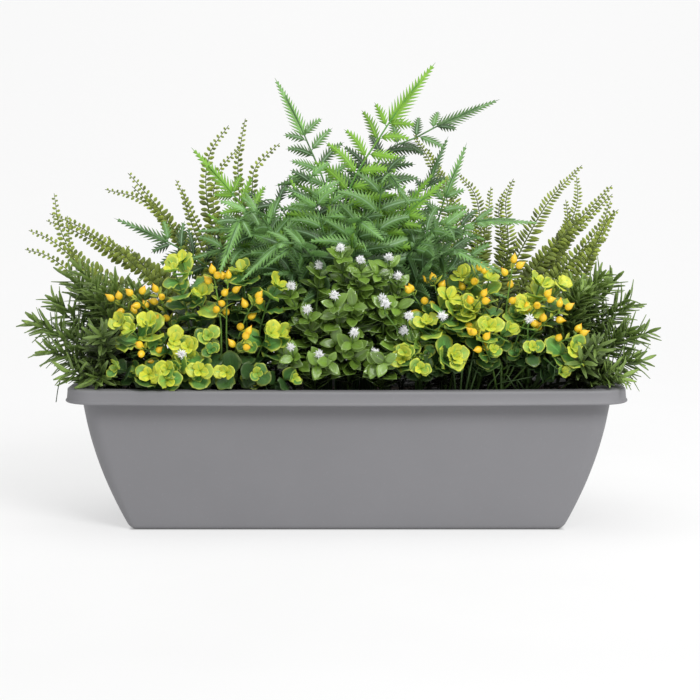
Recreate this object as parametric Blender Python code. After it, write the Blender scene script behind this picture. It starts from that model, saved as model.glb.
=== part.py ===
"""Mixed flower planter: a grey moulded trough filled with foam and set with artificial plants.

Lengths in this file are in millimetres, and the objects are made in metres. The trough stands
on z = 0 with its long side along X and its front towards -Y.
"""
import math
import random

import bmesh
import bpy
from mathutils import Matrix, Vector
from mathutils.bvhtree import BVHTree

# Trough
RIM_LENGTH = 600.0
RIM_DEPTH = 200.0
TROUGH_HEIGHT = 156.0
RIM_HEIGHT = 15.0
RIM_OVERHANG = 17.0
RIM_BOW = 11.0
RIM_CORNER = 32.0
WALL = 3.0
BODY_CORNER = 21.0
BASE_CORNER = 8.0
BASE_INSET_X = 49.0
BASE_INSET_Y = 13.0
FOOT_RADIUS = 6.0
WALL_SLOPE = 0.39

# Filling
FILL_TOP = 134.0
FILL_CROWN = 5.0
GAP = 0.3
STUB_BOTTOM = 108.0

# Plants
LEAF_THICK = 0.5
CLEARANCE = 0.4
STEM_RADIUS = 2.4
SHOOT_FROM = 142.0
SHOOT_STEP = 7.6
FERN_LONG = 6
FERN_SHORT = 5
SWORD_PAIRS = 10
NARROW_WHORLS = 8
PINNA_SHAPE = ((0.26, 1.0), (0.42, 0.42), (0.60, 0.78), (1.0, 0.0))
PINNA_TRIES = ((1.0, 0.0), (1.0, 0.22), (1.0, -0.22), (0.85, 0.1), (0.7, -0.1), (0.5, 0.2), (0.35, 0.0))
ROUND_SHAPE = ((0.40, 1.0), (0.96, 0.6))
BOX_SHAPE = ((0.46, 1.0), (1.0, 0.0))
LEAD = {"fern": 7.0, "sword": 5.0, "narrow": 17.0, "round": 3.0, "box": 2.0, "fruit": 2.5}

MM = 0.001
UP = Vector((0.0, 0.0, 1.0))
FRONT = Vector((0.0, -1.0, 0.0))

# Centre fern: name, colour, hole in the filling, points on the frond, longest branch, turn in degrees
CENTRE_FERN = [
    ("fern_frond_01", "lime", (-12, 22), [(-10, 18, 240), (-2, 8, 350), (42, 6, 430), (92, 4, 498)], 60, 0),
    ("fern_frond_02", "dark", (6, 44), [(8, 54, 250), (32, 66, 388), (86, 80, 426), (170, 96, 467)], 56, -24),
    ("fern_frond_03", "dark", (-24, 46), [(-18, 54, 240), (-18, 66, 342), (-48, 82, 424), (-79, 100, 488)], 56, 20),
    ("fern_frond_04", "lime", (-40, 26), [(-60, 28, 230), (-90, 24, 310), (-120, 14, 352), (-164, 0, 406)], 54, 14),
    ("fern_frond_05", "dark", (-58, 8), [(-90, 8, 215), (-140, 2, 268), (-188, -8, 303), (-246, -22, 332)], 50, -18),
    ("fern_frond_06", "dark", (-46, -8), [(-62, -12, 240), (-88, -22, 330), (-112, -48, 335), (-133, -80, 280)], 50, 26),
    ("fern_frond_07", "dark", (26, -4), [(46, -4, 220), (76, -14, 292), (140, -30, 330), (201, -44, 333)], 52, 8),
    ("fern_frond_08", "dark", (38, 22), [(62, 18, 220), (92, 12, 300), (111, 6, 364), (130, -2, 408)], 46, 30),
    ("fern_frond_09", "dark", (30, 50), [(50, 60, 250), (82, 76, 338), (113, 96, 420)], 46, -34),
    ("fern_frond_10", "lime", (12, 10), [(22, 4, 230), (50, -6, 318), (104, -18, 373)], 46, 12),
    ("fern_frond_11", "dark", (-22, -6), [(-26, -22, 230), (-38, -50, 296), (-72, -78, 308), (-108, -98, 276)], 46, 0),
    ("fern_frond_12", "dark", (4, -10), [(5, -18, 240), (10, -42, 318), (22, -66, 335), (34, -92, 318)], 46, 0),
    ("fern_frond_13", "dark", (46, -6), [(58, -28, 216), (86, -42, 284), (120, -64, 302), (150, -88, 284)], 44, 0),
]

# Sword ferns behind, on the left and on the right
SWORD_FERN = [
    ("sword_frond_01", (-152, 30), [(-200, 38, 208), (-271, 42, 252), (-328, 42, 303), (-358, 40, 318)], 10),
    ("sword_frond_02", (-150, 42), [(-205, 54, 222), (-300, 62, 280), (-327, 68, 316), (-335, 74, 359)], 20),
    ("sword_frond_03", (-146, 54), [(-195, 72, 245), (-275, 86, 298), (-310, 94, 320), (-346, 102, 335)], -10),
    ("sword_frond_04", (-140, 20), [(-172, 26, 215), (-212, 28, 256), (-240, 26, 282), (-268, 22, 312)], 0),
    ("sword_frond_05", (-132, 66), [(-160, 84, 250), (-200, 96, 313), (-237, 102, 350), (-282, 108, 363)], 20),
    ("sword_frond_06", (-136, 44), [(-165, 60, 265), (-208, 70, 332), (-236, 76, 366), (-251, 80, 382)], -20),
    ("sword_frond_07", (-120, 60), [(-148, 78, 260), (-178, 92, 333), (-199, 104, 374)], 25),
    ("sword_frond_08", (-126, 32), [(-146, 40, 250), (-174, 42, 323), (-185, 40, 365)], -15),
    ("sword_frond_09", (-112, 48), [(-135, 56, 250), (-158, 62, 345), (-157, 66, 400), (-134, 68, 436)], 10),
    ("sword_frond_10", (-106, 66), [(-116, 84, 260), (-126, 98, 378), (-123, 106, 416), (-118, 112, 445)], -30),
    ("sword_frond_11", (-94, 56), [(-104, 66, 260), (-108, 76, 372), (-98, 80, 396), (-77, 84, 416)], 20),
    ("sword_frond_12", (110, 66), [(122, 84, 250), (116, 94, 351), (99, 100, 391), (77, 106, 427)], 25),
    ("sword_frond_13", (120, 50), [(142, 64, 240), (154, 72, 301), (148, 76, 355), (128, 80, 380)], -10),
    ("sword_frond_14", (130, 66), [(150, 84, 250), (162, 98, 312), (168, 108, 366)], 30),
    ("sword_frond_15", (132, 36), [(160, 44, 225), (182, 46, 289), (179, 44, 349), (187, 40, 376)], 0),
    ("sword_frond_16", (142, 48), [(172, 58, 230), (196, 64, 288), (230, 68, 349), (268, 70, 391)], -20),
    ("sword_frond_17", (146, 62), [(200, 80, 225), (241, 92, 283), (267, 102, 343), (268, 110, 378)], 15),
    ("sword_frond_18", (158, 52), [(188, 66, 225), (222, 74, 280), (284, 80, 346), (305, 84, 368)], -15),
    ("sword_frond_19", (152, 34), [(195, 44, 222), (248, 50, 276), (286, 53, 320), (299, 55, 351)], 25),
    ("sword_frond_20", (142, 20), [(195, 30, 212), (261, 30, 271), (290, 26, 328), (302, 20, 342)], 0),
]

# Narrow-leaf picks at both ends: name, hole, sprig tips
NARROW_PICKS = [
    ("narrow_leaf_left_front", (-252, -46), [(-350, -42, 226), (-336, -62, 196), (-308, -84, 176), (-276, -86, 214)]),
    ("narrow_leaf_left_back", (-250, -8), [(-346, -14, 256), (-330, 2, 280), (-300, 16, 268)]),
    ("narrow_leaf_left_inner", (-230, -26), [(-312, -28, 290), (-272, -30, 276), (-238, -24, 262)]),
    ("narrow_leaf_right_front", (246, -46), [(340, -42, 214), (330, -62, 186), (304, -84, 172), (276, -86, 204)]),
    ("narrow_leaf_right_back", (244, -8), [(334, -14, 250), (318, 2, 276), (294, 16, 262)]),
    ("narrow_leaf_right_inner", (224, -26), [(298, -28, 284), (268, -30, 272), (236, -24, 250)]),
]

# Round-leaf picks: name, hole, sprig tips
ROUND_PICKS = [
    ("round_leaf_left_outer", (-204, -58), [(-236, -82, 226), (-242, -88, 178), (-208, -92, 172), (-208, -76, 224),
                                            (-182, -86, 206)]),
    ("round_leaf_left_middle", (-158, -46), [(-176, -50, 288), (-154, -62, 254), (-180, -92, 178), (-154, -94, 176),
                                             (-146, -86, 212)]),
    ("round_leaf_left_inner", (-104, -58), [(-112, -46, 278), (-74, -58, 262), (-80, -80, 214), (-126, -92, 174),
                                            (-94, -94, 174), (-56, -92, 168)]),
    ("round_leaf_right_inner", (78, -58), [(108, -66, 250), (84, -76, 226), (62, -88, 196), (78, -92, 178),
                                           (112, -90, 190)]),
    ("round_leaf_right_middle", (138, -48), [(124, -50, 272), (152, -54, 268), (132, -70, 236), (154, -88, 198),
                                             (172, -78, 218)]),
    ("round_leaf_right_outer", (194, -58), [(206, -54, 264), (228, -56, 262), (186, -66, 240), (196, -88, 200),
                                            (234, -80, 196), (226, -90, 174)]),
]

# Fruit sprays: name, hole, twig tips
FRUIT_SPRAYS = [
    ("fruit_spray_left_outer", (-182, -30), [(-242, -62, 244), (-222, -72, 250), (-200, -62, 252), (-212, -96, 200)]),
    ("fruit_spray_left_inner", (-130, -58), [(-140, -74, 272), (-126, -66, 266), (-98, -76, 246), (-108, -94, 208)]),
    ("fruit_spray_right_inner", (108, -32), [(72, -66, 252), (94, -60, 264), (138, -64, 276), (140, -84, 250)]),
    ("fruit_spray_right_outer", (166, -60), [(176, -66, 282), (138, -94, 212), (206, -84, 250), (224, -80, 236),
                                             (240, -88, 212)]),
]

# Box picks in the middle: name, hole, sprig tips
BOX_PICKS = [
    ("box_pick_left", (-36, -54), [(-60, -60, 252), (-40, -72, 228), (-56, -86, 190), (-28, -58, 274),
                                   (-30, -92, 182)]),
    ("box_pick_middle", (0, -46), [(-6, -54, 292), (14, -66, 280), (-12, -84, 244), (6, -94, 206), (22, -56, 268)]),
    ("box_pick_right", (38, -54), [(56, -58, 262), (40, -76, 240), (62, -78, 206), (32, -92, 184), (46, -54, 282)]),
]

MOSS = [
    ("moss_left", -262, -120, 11),
    ("moss_right", 130, 262, 12),
]

COLOURS = {
    "trough": ((0.26, 0.26, 0.27, 1.0), 0.55),
    "fill": ((0.045, 0.032, 0.022, 1.0), 0.95),
    "moss": ((0.16, 0.15, 0.03, 1.0), 0.95),
    "dark": ((0.05, 0.17, 0.08, 1.0), 0.45),
    "lime": ((0.22, 0.46, 0.07, 1.0), 0.45),
    "sword": ((0.2, 0.28, 0.06, 1.0), 0.5),
    "narrow": ((0.07, 0.12, 0.035, 1.0), 0.5),
    "round": ((0.42, 0.58, 0.08, 1.0), 0.45),
    "fruit": ((0.85, 0.5, 0.03, 1.0), 0.35),
    "box": ((0.1, 0.19, 0.035, 1.0), 0.4),
}


def clear_scene():
    for obj in list(bpy.data.objects):
        bpy.data.objects.remove(obj, do_unlink=True)
    for group in list(bpy.data.collections):
        bpy.data.collections.remove(group)


def material(kind, name):
    colour, rough = COLOURS[kind]
    mat = bpy.data.materials.new(name)
    mat.use_nodes = True
    shader = mat.node_tree.nodes["Principled BSDF"]
    shader.inputs["Base Color"].default_value = colour
    shader.inputs["Roughness"].default_value = rough
    shader.inputs["Metallic"].default_value = 0.0
    mat.diffuse_color = colour
    return mat


def make_object(name, verts, faces, kind, group):
    mesh = bpy.data.meshes.new(name)
    mesh.from_pydata([Vector(v) * MM for v in verts], [], faces)
    mesh.update()
    work = bmesh.new()
    work.from_mesh(mesh)
    bmesh.ops.recalc_face_normals(work, faces=work.faces)
    if work.calc_volume(signed=True) < 0:
        bmesh.ops.reverse_faces(work, faces=work.faces)
    work.to_mesh(mesh)
    work.free()
    obj = bpy.data.objects.new(name, mesh)
    if kind:
        mesh.materials.append(material(kind, name + "_material"))
    group.objects.link(obj)
    return obj


def keep_main_body(obj):
    """Keeps the one outer body of a joined mesh and drops sealed hollows and loose scrap."""
    work = bmesh.new()
    work.from_mesh(obj.data)
    bmesh.ops.remove_doubles(work, verts=work.verts, dist=0.0000015)
    bmesh.ops.triangulate(work, faces=work.faces)
    seen = set()
    bodies = []
    for start in work.faces:
        if start in seen:
            continue
        seen.add(start)
        stack = [start]
        body = []
        while stack:
            face = stack.pop()
            body.append(face)
            for edge in face.edges:
                for other in edge.link_faces:
                    if other not in seen:
                        seen.add(other)
                        stack.append(other)
        bodies.append(body)
    bodies.sort(key=len, reverse=True)
    for body in bodies[1:]:
        bmesh.ops.delete(work, geom=body, context="FACES")
    loose = [v for v in work.verts if not v.link_faces]
    bmesh.ops.delete(work, geom=loose, context="VERTS")
    work.to_mesh(obj.data)
    work.free()


def is_sound(mesh):
    """True where each edge has two faces, each corner one fan of faces, and no face is a mere sliver."""
    work = bmesh.new()
    work.from_mesh(mesh)
    sound = all(edge.is_manifold for edge in work.edges) and all(vert.is_manifold for vert in work.verts)
    for face in work.faces:
        longest = max(edge.calc_length() for edge in face.edges)
        if 2.0 * face.calc_area() < longest * 0.002 * MM:
            sound = False
    if min(edge.calc_length() for edge in work.edges) < 0.012 * MM:
        sound = False
    work.free()
    return sound


def join_parts(name, parts, kind, group):
    """Joins the shoots of one plant pick with one Boolean union on a collection."""
    rng = random.Random(name + "join")
    base = make_object(name, parts[0][0], parts[0][1], kind, group)
    first = base.data
    for attempt in range(24):
        others = bpy.data.collections.new(name + "_repeats")
        bpy.context.scene.collection.children.link(others)
        for number, (verts, faces) in enumerate(parts[1:]):
            reach = 0.03 * min(attempt, 6)
            nudge = Vector((rng.uniform(-reach, reach), rng.uniform(-reach, reach), rng.uniform(-reach, reach)))
            moved = [vert + nudge for vert in verts]
            make_object(f"{name}_repeat_{number:02d}", moved, faces, None, others)
        union = base.modifiers.new("join", "BOOLEAN")
        union.operation = "UNION"
        union.operand_type = "COLLECTION"
        union.collection = others
        union.solver = "MANIFOLD"
        graph = bpy.context.evaluated_depsgraph_get()
        joined = bpy.data.meshes.new_from_object(base.evaluated_get(graph))
        base.modifiers.clear()
        base.data = joined
        for obj in list(others.objects):
            bpy.data.objects.remove(obj, do_unlink=True)
        bpy.data.collections.remove(others)
        keep_main_body(base)
        if is_sound(base.data):
            break
        base.data = first
    else:
        raise RuntimeError(f"{name} does not join into one sound body")
    bpy.data.meshes.remove(first)
    return base


# Trough and filling
def outline(half_x, half_y, corner, bow, z):
    """A closed plan outline: rounded corners, straight ends and gently bowed long sides."""
    points = []
    corners = [(1, -1, -90), (1, 1, 0), (-1, 1, 90), (-1, -1, 180)]
    for sx, sy, start in corners:
        cx = sx * (half_x - corner)
        cy = sy * (half_y - corner)
        for step in range(4):
            angle = math.radians(start + step * 30.0)
            points.append([cx + corner * math.cos(angle), cy + corner * math.sin(angle), z])
        if sy == 1 and sx == 1 or sy == -1 and sx == -1:
            side = 1 if sy == 1 else -1
            for step in range(1, 6):
                share = side * (half_x - corner) * (1 - step / 3.0)
                points.append([share, side * half_y, z])
    for point in points:
        reach = min(1.0, abs(point[0]) / half_x)
        side = math.copysign(1.0, point[1])
        point[1] += side * bow * (1 - reach ** 2) * min(1.0, abs(point[1]) / (half_y * 0.6))
    return points


def inset_at(z):
    """How far the body has drawn in at height z, below the rim."""
    drop = (TROUGH_HEIGHT - RIM_HEIGHT - z) / (TROUGH_HEIGHT - RIM_HEIGHT)
    return WALL_SLOPE * drop + (1.0 - WALL_SLOPE) * drop ** 2


def body_outline(z, inward=0.0):
    share = inset_at(z)
    half_x = RIM_LENGTH / 2 - RIM_OVERHANG - BASE_INSET_X * share - inward
    half_y = RIM_DEPTH / 2 - RIM_OVERHANG - BASE_INSET_Y * share - inward
    corner = max(3.0, BODY_CORNER + (BASE_CORNER - BODY_CORNER) * share - inward)
    bow = RIM_BOW * (1 - share)
    return outline(half_x, half_y, corner, bow, z)


def rim_outline(outward, z):
    half_x = RIM_LENGTH / 2 - RIM_OVERHANG + outward
    half_y = RIM_DEPTH / 2 - RIM_OVERHANG + outward
    corner = max(6.0, RIM_CORNER - RIM_OVERHANG + outward)
    return outline(half_x, half_y, corner, RIM_BOW, z)


def loft(rings):
    verts = [tuple(p) for ring in rings for p in ring]
    count = len(rings[0])
    faces = []
    for level in range(len(rings) - 1):
        for k in range(count):
            a = level * count + k
            b = level * count + (k + 1) % count
            faces.append((a, b, b + count, a + count))
    faces.append(tuple(reversed(range(count))))
    last = (len(rings) - 1) * count
    faces.append(tuple(range(last, last + count)))
    return verts, faces


def build_trough(group):
    top = TROUGH_HEIGHT
    under = top - 3.0
    rings = [body_outline(0.0, FOOT_RADIUS), body_outline(2.0, 1.4), body_outline(FOOT_RADIUS + 1.0)]
    for z in (40.0, 74.0, 110.0):
        rings.append(body_outline(z))
    rings.append(rim_outline(0.0, under))
    rings.append(rim_outline(12.0, under))
    rings.append(rim_outline(14.2, top - RIM_HEIGHT))
    rings.append(rim_outline(17.0, top - RIM_HEIGHT))
    rings.append(rim_outline(15.6, top - RIM_HEIGHT + 2.5))
    rings.append(rim_outline(14.8, top - 2.2))
    rings.append(rim_outline(12.8, top))
    rings.append(rim_outline(0.0, top))
    rings.append(rim_outline(-WALL, top - 3.5))
    for z in (110.0, 74.0, 40.0):
        rings.append(body_outline(z, WALL))
    rings.append(body_outline(WALL + 4.0, WALL))
    rings.append(body_outline(WALL, WALL + 3.0))
    verts, faces = loft(rings)
    obj = make_object("trough", verts, faces, "trough", group)
    work = bmesh.new()
    work.from_mesh(obj.data)
    bmesh.ops.triangulate(work, faces=work.faces)
    work.to_mesh(obj.data)
    work.free()
    return obj


def build_fill(group, cutters):
    inward = WALL + GAP
    rings = [body_outline(WALL + GAP, inward + 4.2), body_outline(WALL + 5.0, inward + 0.6)]
    for z in (42.0, 84.0):
        rings.append(body_outline(z, inward + 0.3))
    rings.append(body_outline(FILL_TOP - 3.0, inward + 1.2))
    rings.append(body_outline(FILL_TOP, inward + 4.0))
    edge = rings[-1]
    dome = []
    for k, point in enumerate(edge):
        bump = 0.9 * math.sin(k * 2.1)
        dome.append([point[0] * 0.9, point[1] * 0.72, FILL_TOP + FILL_CROWN * 0.5 + bump])
    rings.append(dome)
    verts, faces = loft(rings)
    obj = make_object("foam_fill", verts, faces, "fill", group)
    holes = bpy.data.collections.new("stem_holes")
    cutters.children.link(holes)
    for number, (x, y, radius) in enumerate(HOLES):
        bpy.ops.mesh.primitive_cylinder_add(vertices=4, radius=(radius + GAP) * 1.41 * MM, depth=0.1,
                                            location=(x * MM, y * MM, (STUB_BOTTOM - GAP) * MM + 0.05))
        tool = bpy.context.object
        tool.name = f"stem_hole_{number:02d}"
        for owner in list(tool.users_collection):
            owner.objects.unlink(tool)
        holes.objects.link(tool)
    cut = obj.modifiers.new("holes", "BOOLEAN")
    cut.operation = "DIFFERENCE"
    cut.operand_type = "COLLECTION"
    cut.collection = holes
    cut.solver = "MANIFOLD"
    graph = bpy.context.evaluated_depsgraph_get()
    cut_mesh = bpy.data.meshes.new_from_object(obj.evaluated_get(graph))
    obj.modifiers.clear()
    old = obj.data
    obj.data = cut_mesh
    bpy.data.meshes.remove(old)
    for tool in list(holes.objects):
        bpy.data.objects.remove(tool, do_unlink=True)
    bpy.data.collections.remove(holes)
    keep_main_body(obj)
    return obj


# Space that is already taken, so that no plant grows through another
TAKEN = []


def solid_sign(verts, faces):
    total = 0.0
    for a, b, c in faces:
        total += verts[a].dot(verts[b].cross(verts[c]))
    return 1.0 if total > 0 else -1.0


def fattened(verts, faces, margin):
    sign = solid_sign(verts, faces)
    normals = [Vector((0, 0, 0)) for _ in verts]
    for a, b, c in faces:
        normal = (verts[b] - verts[a]).cross(verts[c] - verts[a])
        for corner in (a, b, c):
            normals[corner] += normal
    grown = []
    for vert, normal in zip(verts, normals):
        if normal.length > 1e-9:
            grown.append(vert + normal.normalized() * (sign * margin))
        else:
            grown.append(vert)
    return grown


def bounds(verts):
    lo = Vector((min(v.x for v in verts), min(v.y for v in verts), min(v.z for v in verts)))
    hi = Vector((max(v.x for v in verts), max(v.y for v in verts), max(v.z for v in verts)))
    return lo, hi


def take(owner, verts, faces, stem=None):
    """Stems carry the number of their shoot, so that what grows on it may touch it."""
    lo, hi = bounds(verts)
    TAKEN.append((owner, stem, lo, hi, BVHTree.FromPolygons(verts, faces)))


def is_free(owner, verts, faces, margin=CLEARANCE, shoot=0, own_too=True):
    grown = fattened(verts, faces, margin)
    lo, hi = bounds(grown)
    tree = None
    for other, stem, other_lo, other_hi, other_tree in TAKEN:
        if other == owner and (stem == shoot or not own_too):
            continue
        if other_lo.x > hi.x or other_hi.x < lo.x or other_lo.z > hi.z or other_hi.z < lo.z:
            continue
        if other_lo.y > hi.y or other_hi.y < lo.y:
            continue
        if tree is None:
            tree = BVHTree.FromPolygons(grown, faces)
        if tree.overlap(other_tree):
            return False
    return True


# Curves and frames
class Path:
    """A smooth line through the given points, measured along its length."""

    def __init__(self, points, stub=False):
        pts = [Vector(p) for p in points]
        self.line = []
        if stub:
            self.line.append(pts.pop(0))
            before = Vector((pts[1].x, pts[1].y, pts[0].z - 50.0))
        else:
            before = pts[0] * 2 - pts[1]
        pts = [before] + pts + [pts[-1] * 2 - pts[-2]]
        for k in range(1, len(pts) - 2):
            for step in range(12):
                self.line.append(self.blend(pts[k - 1:k + 3], step / 12.0))
        self.line.append(pts[-2])
        self.at = [0.0]
        for a, b in zip(self.line, self.line[1:]):
            self.at.append(self.at[-1] + (b - a).length)
        self.length = self.at[-1]

    @staticmethod
    def blend(p, t):
        return 0.5 * ((2 * p[1]) + (p[2] - p[0]) * t + (2 * p[0] - 5 * p[1] + 4 * p[2] - p[3]) * t ** 2
                      + (3 * p[1] - p[0] - 3 * p[2] + p[3]) * t ** 3)

    def point(self, distance):
        distance = max(0.0, min(self.length, distance))
        for k in range(len(self.at) - 1):
            if self.at[k + 1] >= distance:
                span = self.at[k + 1] - self.at[k]
                share = (distance - self.at[k]) / span if span > 0 else 0.0
                return self.line[k].lerp(self.line[k + 1], share)
        return self.line[-1].copy()

    def along(self, distance):
        step = 2.0
        return (self.point(distance + step) - self.point(distance - step)).normalized()


def frame_at(path, distance, facing, twist=0.0):
    along = path.along(distance)
    normal = facing - along * facing.dot(along)
    if normal.length < 0.05:
        normal = Vector((0.3, -1.0, 0.2)) - along * Vector((0.3, -1.0, 0.2)).dot(along)
    normal.normalize()
    side = along.cross(normal)
    if twist:
        turn = Matrix.Rotation(twist, 3, along)
        normal = turn @ normal
        side = turn @ side
    return along, side, normal


def ring_at(path, distance, radius, facing, twist=0.0):
    along, side, normal = frame_at(path, distance, facing, twist)
    centre = path.point(distance)
    return [centre + side * (0.87 * radius) + normal * (0.5 * radius),
            centre - side * (0.87 * radius) + normal * (0.5 * radius),
            centre - normal * radius]


def plain_tube(path, radius, facing, stops, lead, twist_at=None):
    """A plain stem through the same stops, for the space that it will take."""
    steps = len(stops) - 1
    verts = []
    for distance in stops:
        twist = twist_at(distance) if twist_at else 0.0
        verts += ring_at(path, distance, radius, facing, twist)
    faces = []
    for k in range(steps):
        for j in range(3):
            a = k * 3 + j
            b = k * 3 + (j + 1) % 3
            faces += [(a, b, b + 3), (a, b + 3, a + 3)]
    verts.append(path.point(stops[-1]) + path.along(stops[-1]) * (lead + 0.5))
    top = len(verts) - 1
    faces.append((2, 1, 0))
    faces += [(steps * 3 + j, steps * 3 + (j + 1) % 3, top) for j in range(3)]
    return verts, faces


class Growth:
    """The mesh of one plant piece, grown face by face along its shoots."""

    def __init__(self, name, number=0):
        self.name = name
        self.number = number
        self.verts = []
        self.faces = []

    def add(self, points):
        first = len(self.verts)
        self.verts += [Vector(p) for p in points]
        return list(range(first, first + len(points)))

    def close_side(self, quad):
        a, b, c, d = quad
        self.faces += [(a, b, c), (a, c, d)]

    def claim(self, quad, rows, faces_of):
        """Tests and takes the space of what grows from a quad; rows are its new points."""
        root = [self.verts[i] for i in quad]
        tip = rows[-1][-1]
        base = [corner.lerp(tip, 0.13) for corner in root]
        flat = list(base)
        for row in rows:
            flat += row
        faces = faces_of(4)
        faces = faces + [(0, 3, 2), (0, 2, 1)]
        if not is_free(self.name, flat, faces, shoot=self.number):
            return False
        take(self.name, flat, faces)
        return True

    def spike(self, quad, tip):
        """A pointed leaflet or needle on the four corners of a stem side."""
        def faces_of(start):
            return [(k, (k + 1) % 4, start) for k in range(4)]
        if not self.claim(quad, [[tip]], faces_of):
            return False
        top = self.add([tip])[0]
        for k in range(4):
            self.faces.append((quad[k], quad[(k + 1) % 4], top))
        return True

    def leaf(self, quad, rim, upper, lower):
        """A flat leaf: rim points from right to left, with a raised middle on both faces."""
        count = len(rim)

        def make(a0, b0, b1, a1, first, top, bottom):
            edge = list(range(first, first + count))
            out = [(a0, b0, bottom), (b0, edge[0], bottom), (edge[-1], a0, bottom)]
            out += [(b1, a1, top), (a1, edge[-1], top), (edge[0], b1, top)]
            out += [(b0, b1, edge[0]), (a1, a0, edge[-1])]
            for k in range(count - 1):
                out.append((edge[k], edge[k + 1], bottom))
                out.append((edge[k + 1], edge[k], top))
            return out

        root = [self.verts[i] for i in quad]
        middle = upper.lerp(lower, 0.5)
        base = [corner.lerp(middle, 0.13) for corner in root]
        flat = base + rim + [upper, lower]
        faces = make(0, 1, 2, 3, 4, 4 + count, 5 + count) + [(0, 3, 2), (0, 2, 1)]
        if not is_free(self.name, flat, faces, shoot=self.number):
            return False
        take(self.name, flat, faces)
        ids = self.add(rim)
        top, bottom = self.add([upper, lower])
        self.faces += make(quad[0], quad[1], quad[2], quad[3], ids[0], top, bottom)
        return True

    def fruit(self, quad, rings, tip):
        """A stalked fruit: the stem side narrows to a stalk, swells and ends in a point."""
        flat = [self.verts[i].lerp(point, 0.2) for i, point in zip(quad, rings[0])]
        for ring in rings:
            flat += ring
        faces = []
        for level in range(len(rings)):
            for k in range(4):
                a = level * 4 + k
                b = level * 4 + (k + 1) % 4
                faces += [(a, b, b + 4), (a, b + 4, a + 4)]
        last = len(rings) * 4
        faces += [(last + k, last + (k + 1) % 4, len(flat)) for k in range(4)]
        faces += [(0, 3, 2), (0, 2, 1)]
        flat.append(tip)
        if not is_free(self.name, flat, faces, shoot=self.number):
            return False
        take(self.name, flat, faces)
        loops = [list(quad)] + [self.add(ring) for ring in rings]
        for low, high in zip(loops, loops[1:]):
            for k in range(4):
                a, b = low[k], low[(k + 1) % 4]
                c, d = high[(k + 1) % 4], high[k]
                self.faces += [(a, b, c), (a, c, d)]
        end = self.add([tip])[0]
        self.faces += [(loops[-1][k], loops[-1][(k + 1) % 4], end) for k in range(4)]
        return True

    def shoot(self, path, stops, radius_at, facing, grow, twist_at=None, tip=3.0):
        """A three-sided stem through the stops along a path; grow() may fill each side."""
        rings = []
        for distance in stops:
            twist = twist_at(distance) if twist_at else 0.0
            rings.append(self.add(ring_at(path, distance, radius_at(distance), facing, twist)))
        self.faces.append((rings[0][2], rings[0][1], rings[0][0]))
        for k in range(len(stops) - 1):
            low, high = rings[k], rings[k + 1]
            for side in range(3):
                quad = (low[side], low[(side + 1) % 3], high[(side + 1) % 3], high[side])
                if not (grow and grow(self, k, side, quad)):
                    self.close_side(quad)
        end = path.point(stops[-1]) + path.along(stops[-1]) * tip
        top = self.add([end])[0]
        last = rings[-1]
        for side in range(3):
            self.faces.append((last[side], last[(side + 1) % 3], top))


def quad_centre(body, quad):
    return sum((body.verts[i] for i in quad), Vector((0, 0, 0))) / 4.0


# Ferns
def grow_leaf(mesh, quad, start, aim, face, length, width, shape, cup):
    """Sets one leaf on a stem side. aim is its direction and face the side that it turns up.

    shape gives the half outline as shares of the length and half width; cup lifts or drops the tip.
    """
    a0, b0, b1, a1 = quad
    wide = mesh.verts[b0] - mesh.verts[a0]
    wide -= aim * wide.dot(aim)
    if wide.length < 1e-6:
        return False
    wide.normalize()
    normal = aim.cross(wide)
    if normal.dot(face) < 0:
        normal = -normal
    half = width * 0.5

    def at(share, across):
        return start + aim * (length * share) + wide * (half * across) + normal * (length * cup * share ** 2)

    rim = [at(share, across) for share, across in shape]
    back = shape[:-1] if shape[-1][1] == 0.0 else shape
    rim += [at(share, -across) for share, across in reversed(back)]
    upper = at(0.46, 0.0) + normal * LEAF_THICK
    lower = at(0.46, 0.0) - normal * LEAF_THICK
    return mesh.leaf(quad, rim, upper, lower)


def frond_facing(points, turn):
    """Where a frond's upper face looks: up where it arches over, else towards the front."""
    tip = Vector(points[-1])
    before = Vector(points[-2])
    lean = (tip - before).normalized()
    if lean.z < 0.35:
        return Matrix.Rotation(math.radians(turn), 3, "Y") @ Vector((0.0, -0.4, 1.0))
    return Matrix.Rotation(math.radians(turn), 3, "Z") @ Vector((0.0, -0.85, 0.5))


def fern_stops(path):
    """Where a centre fern frond carries its long branches, and the stops of its rib."""
    total = path.length
    first = total * 0.36
    spots = [first + total * 0.43 * (k / (FERN_LONG - 1)) ** 0.95 for k in range(FERN_LONG)]
    stops = [0.0, 31.0, 0.5 * (31.0 + first)]
    for spot in spots:
        stops += [spot - 1.5, spot + 1.5]
    rest = total * 0.985 - stops[-1] - 9.0
    for k in range(FERN_SHORT + 1):
        stops.append(spots[-1] + 10.5 + rest * (k / FERN_SHORT) ** 0.93)
    return spots, stops


def plan_fern(entry):
    name, colour, hole, points, reach, turn = entry
    full = [(hole[0], hole[1], STUB_BOTTOM), (hole[0], hole[1], 139.0)] + points
    return Path(full, True), frond_facing(points, turn)


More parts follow.
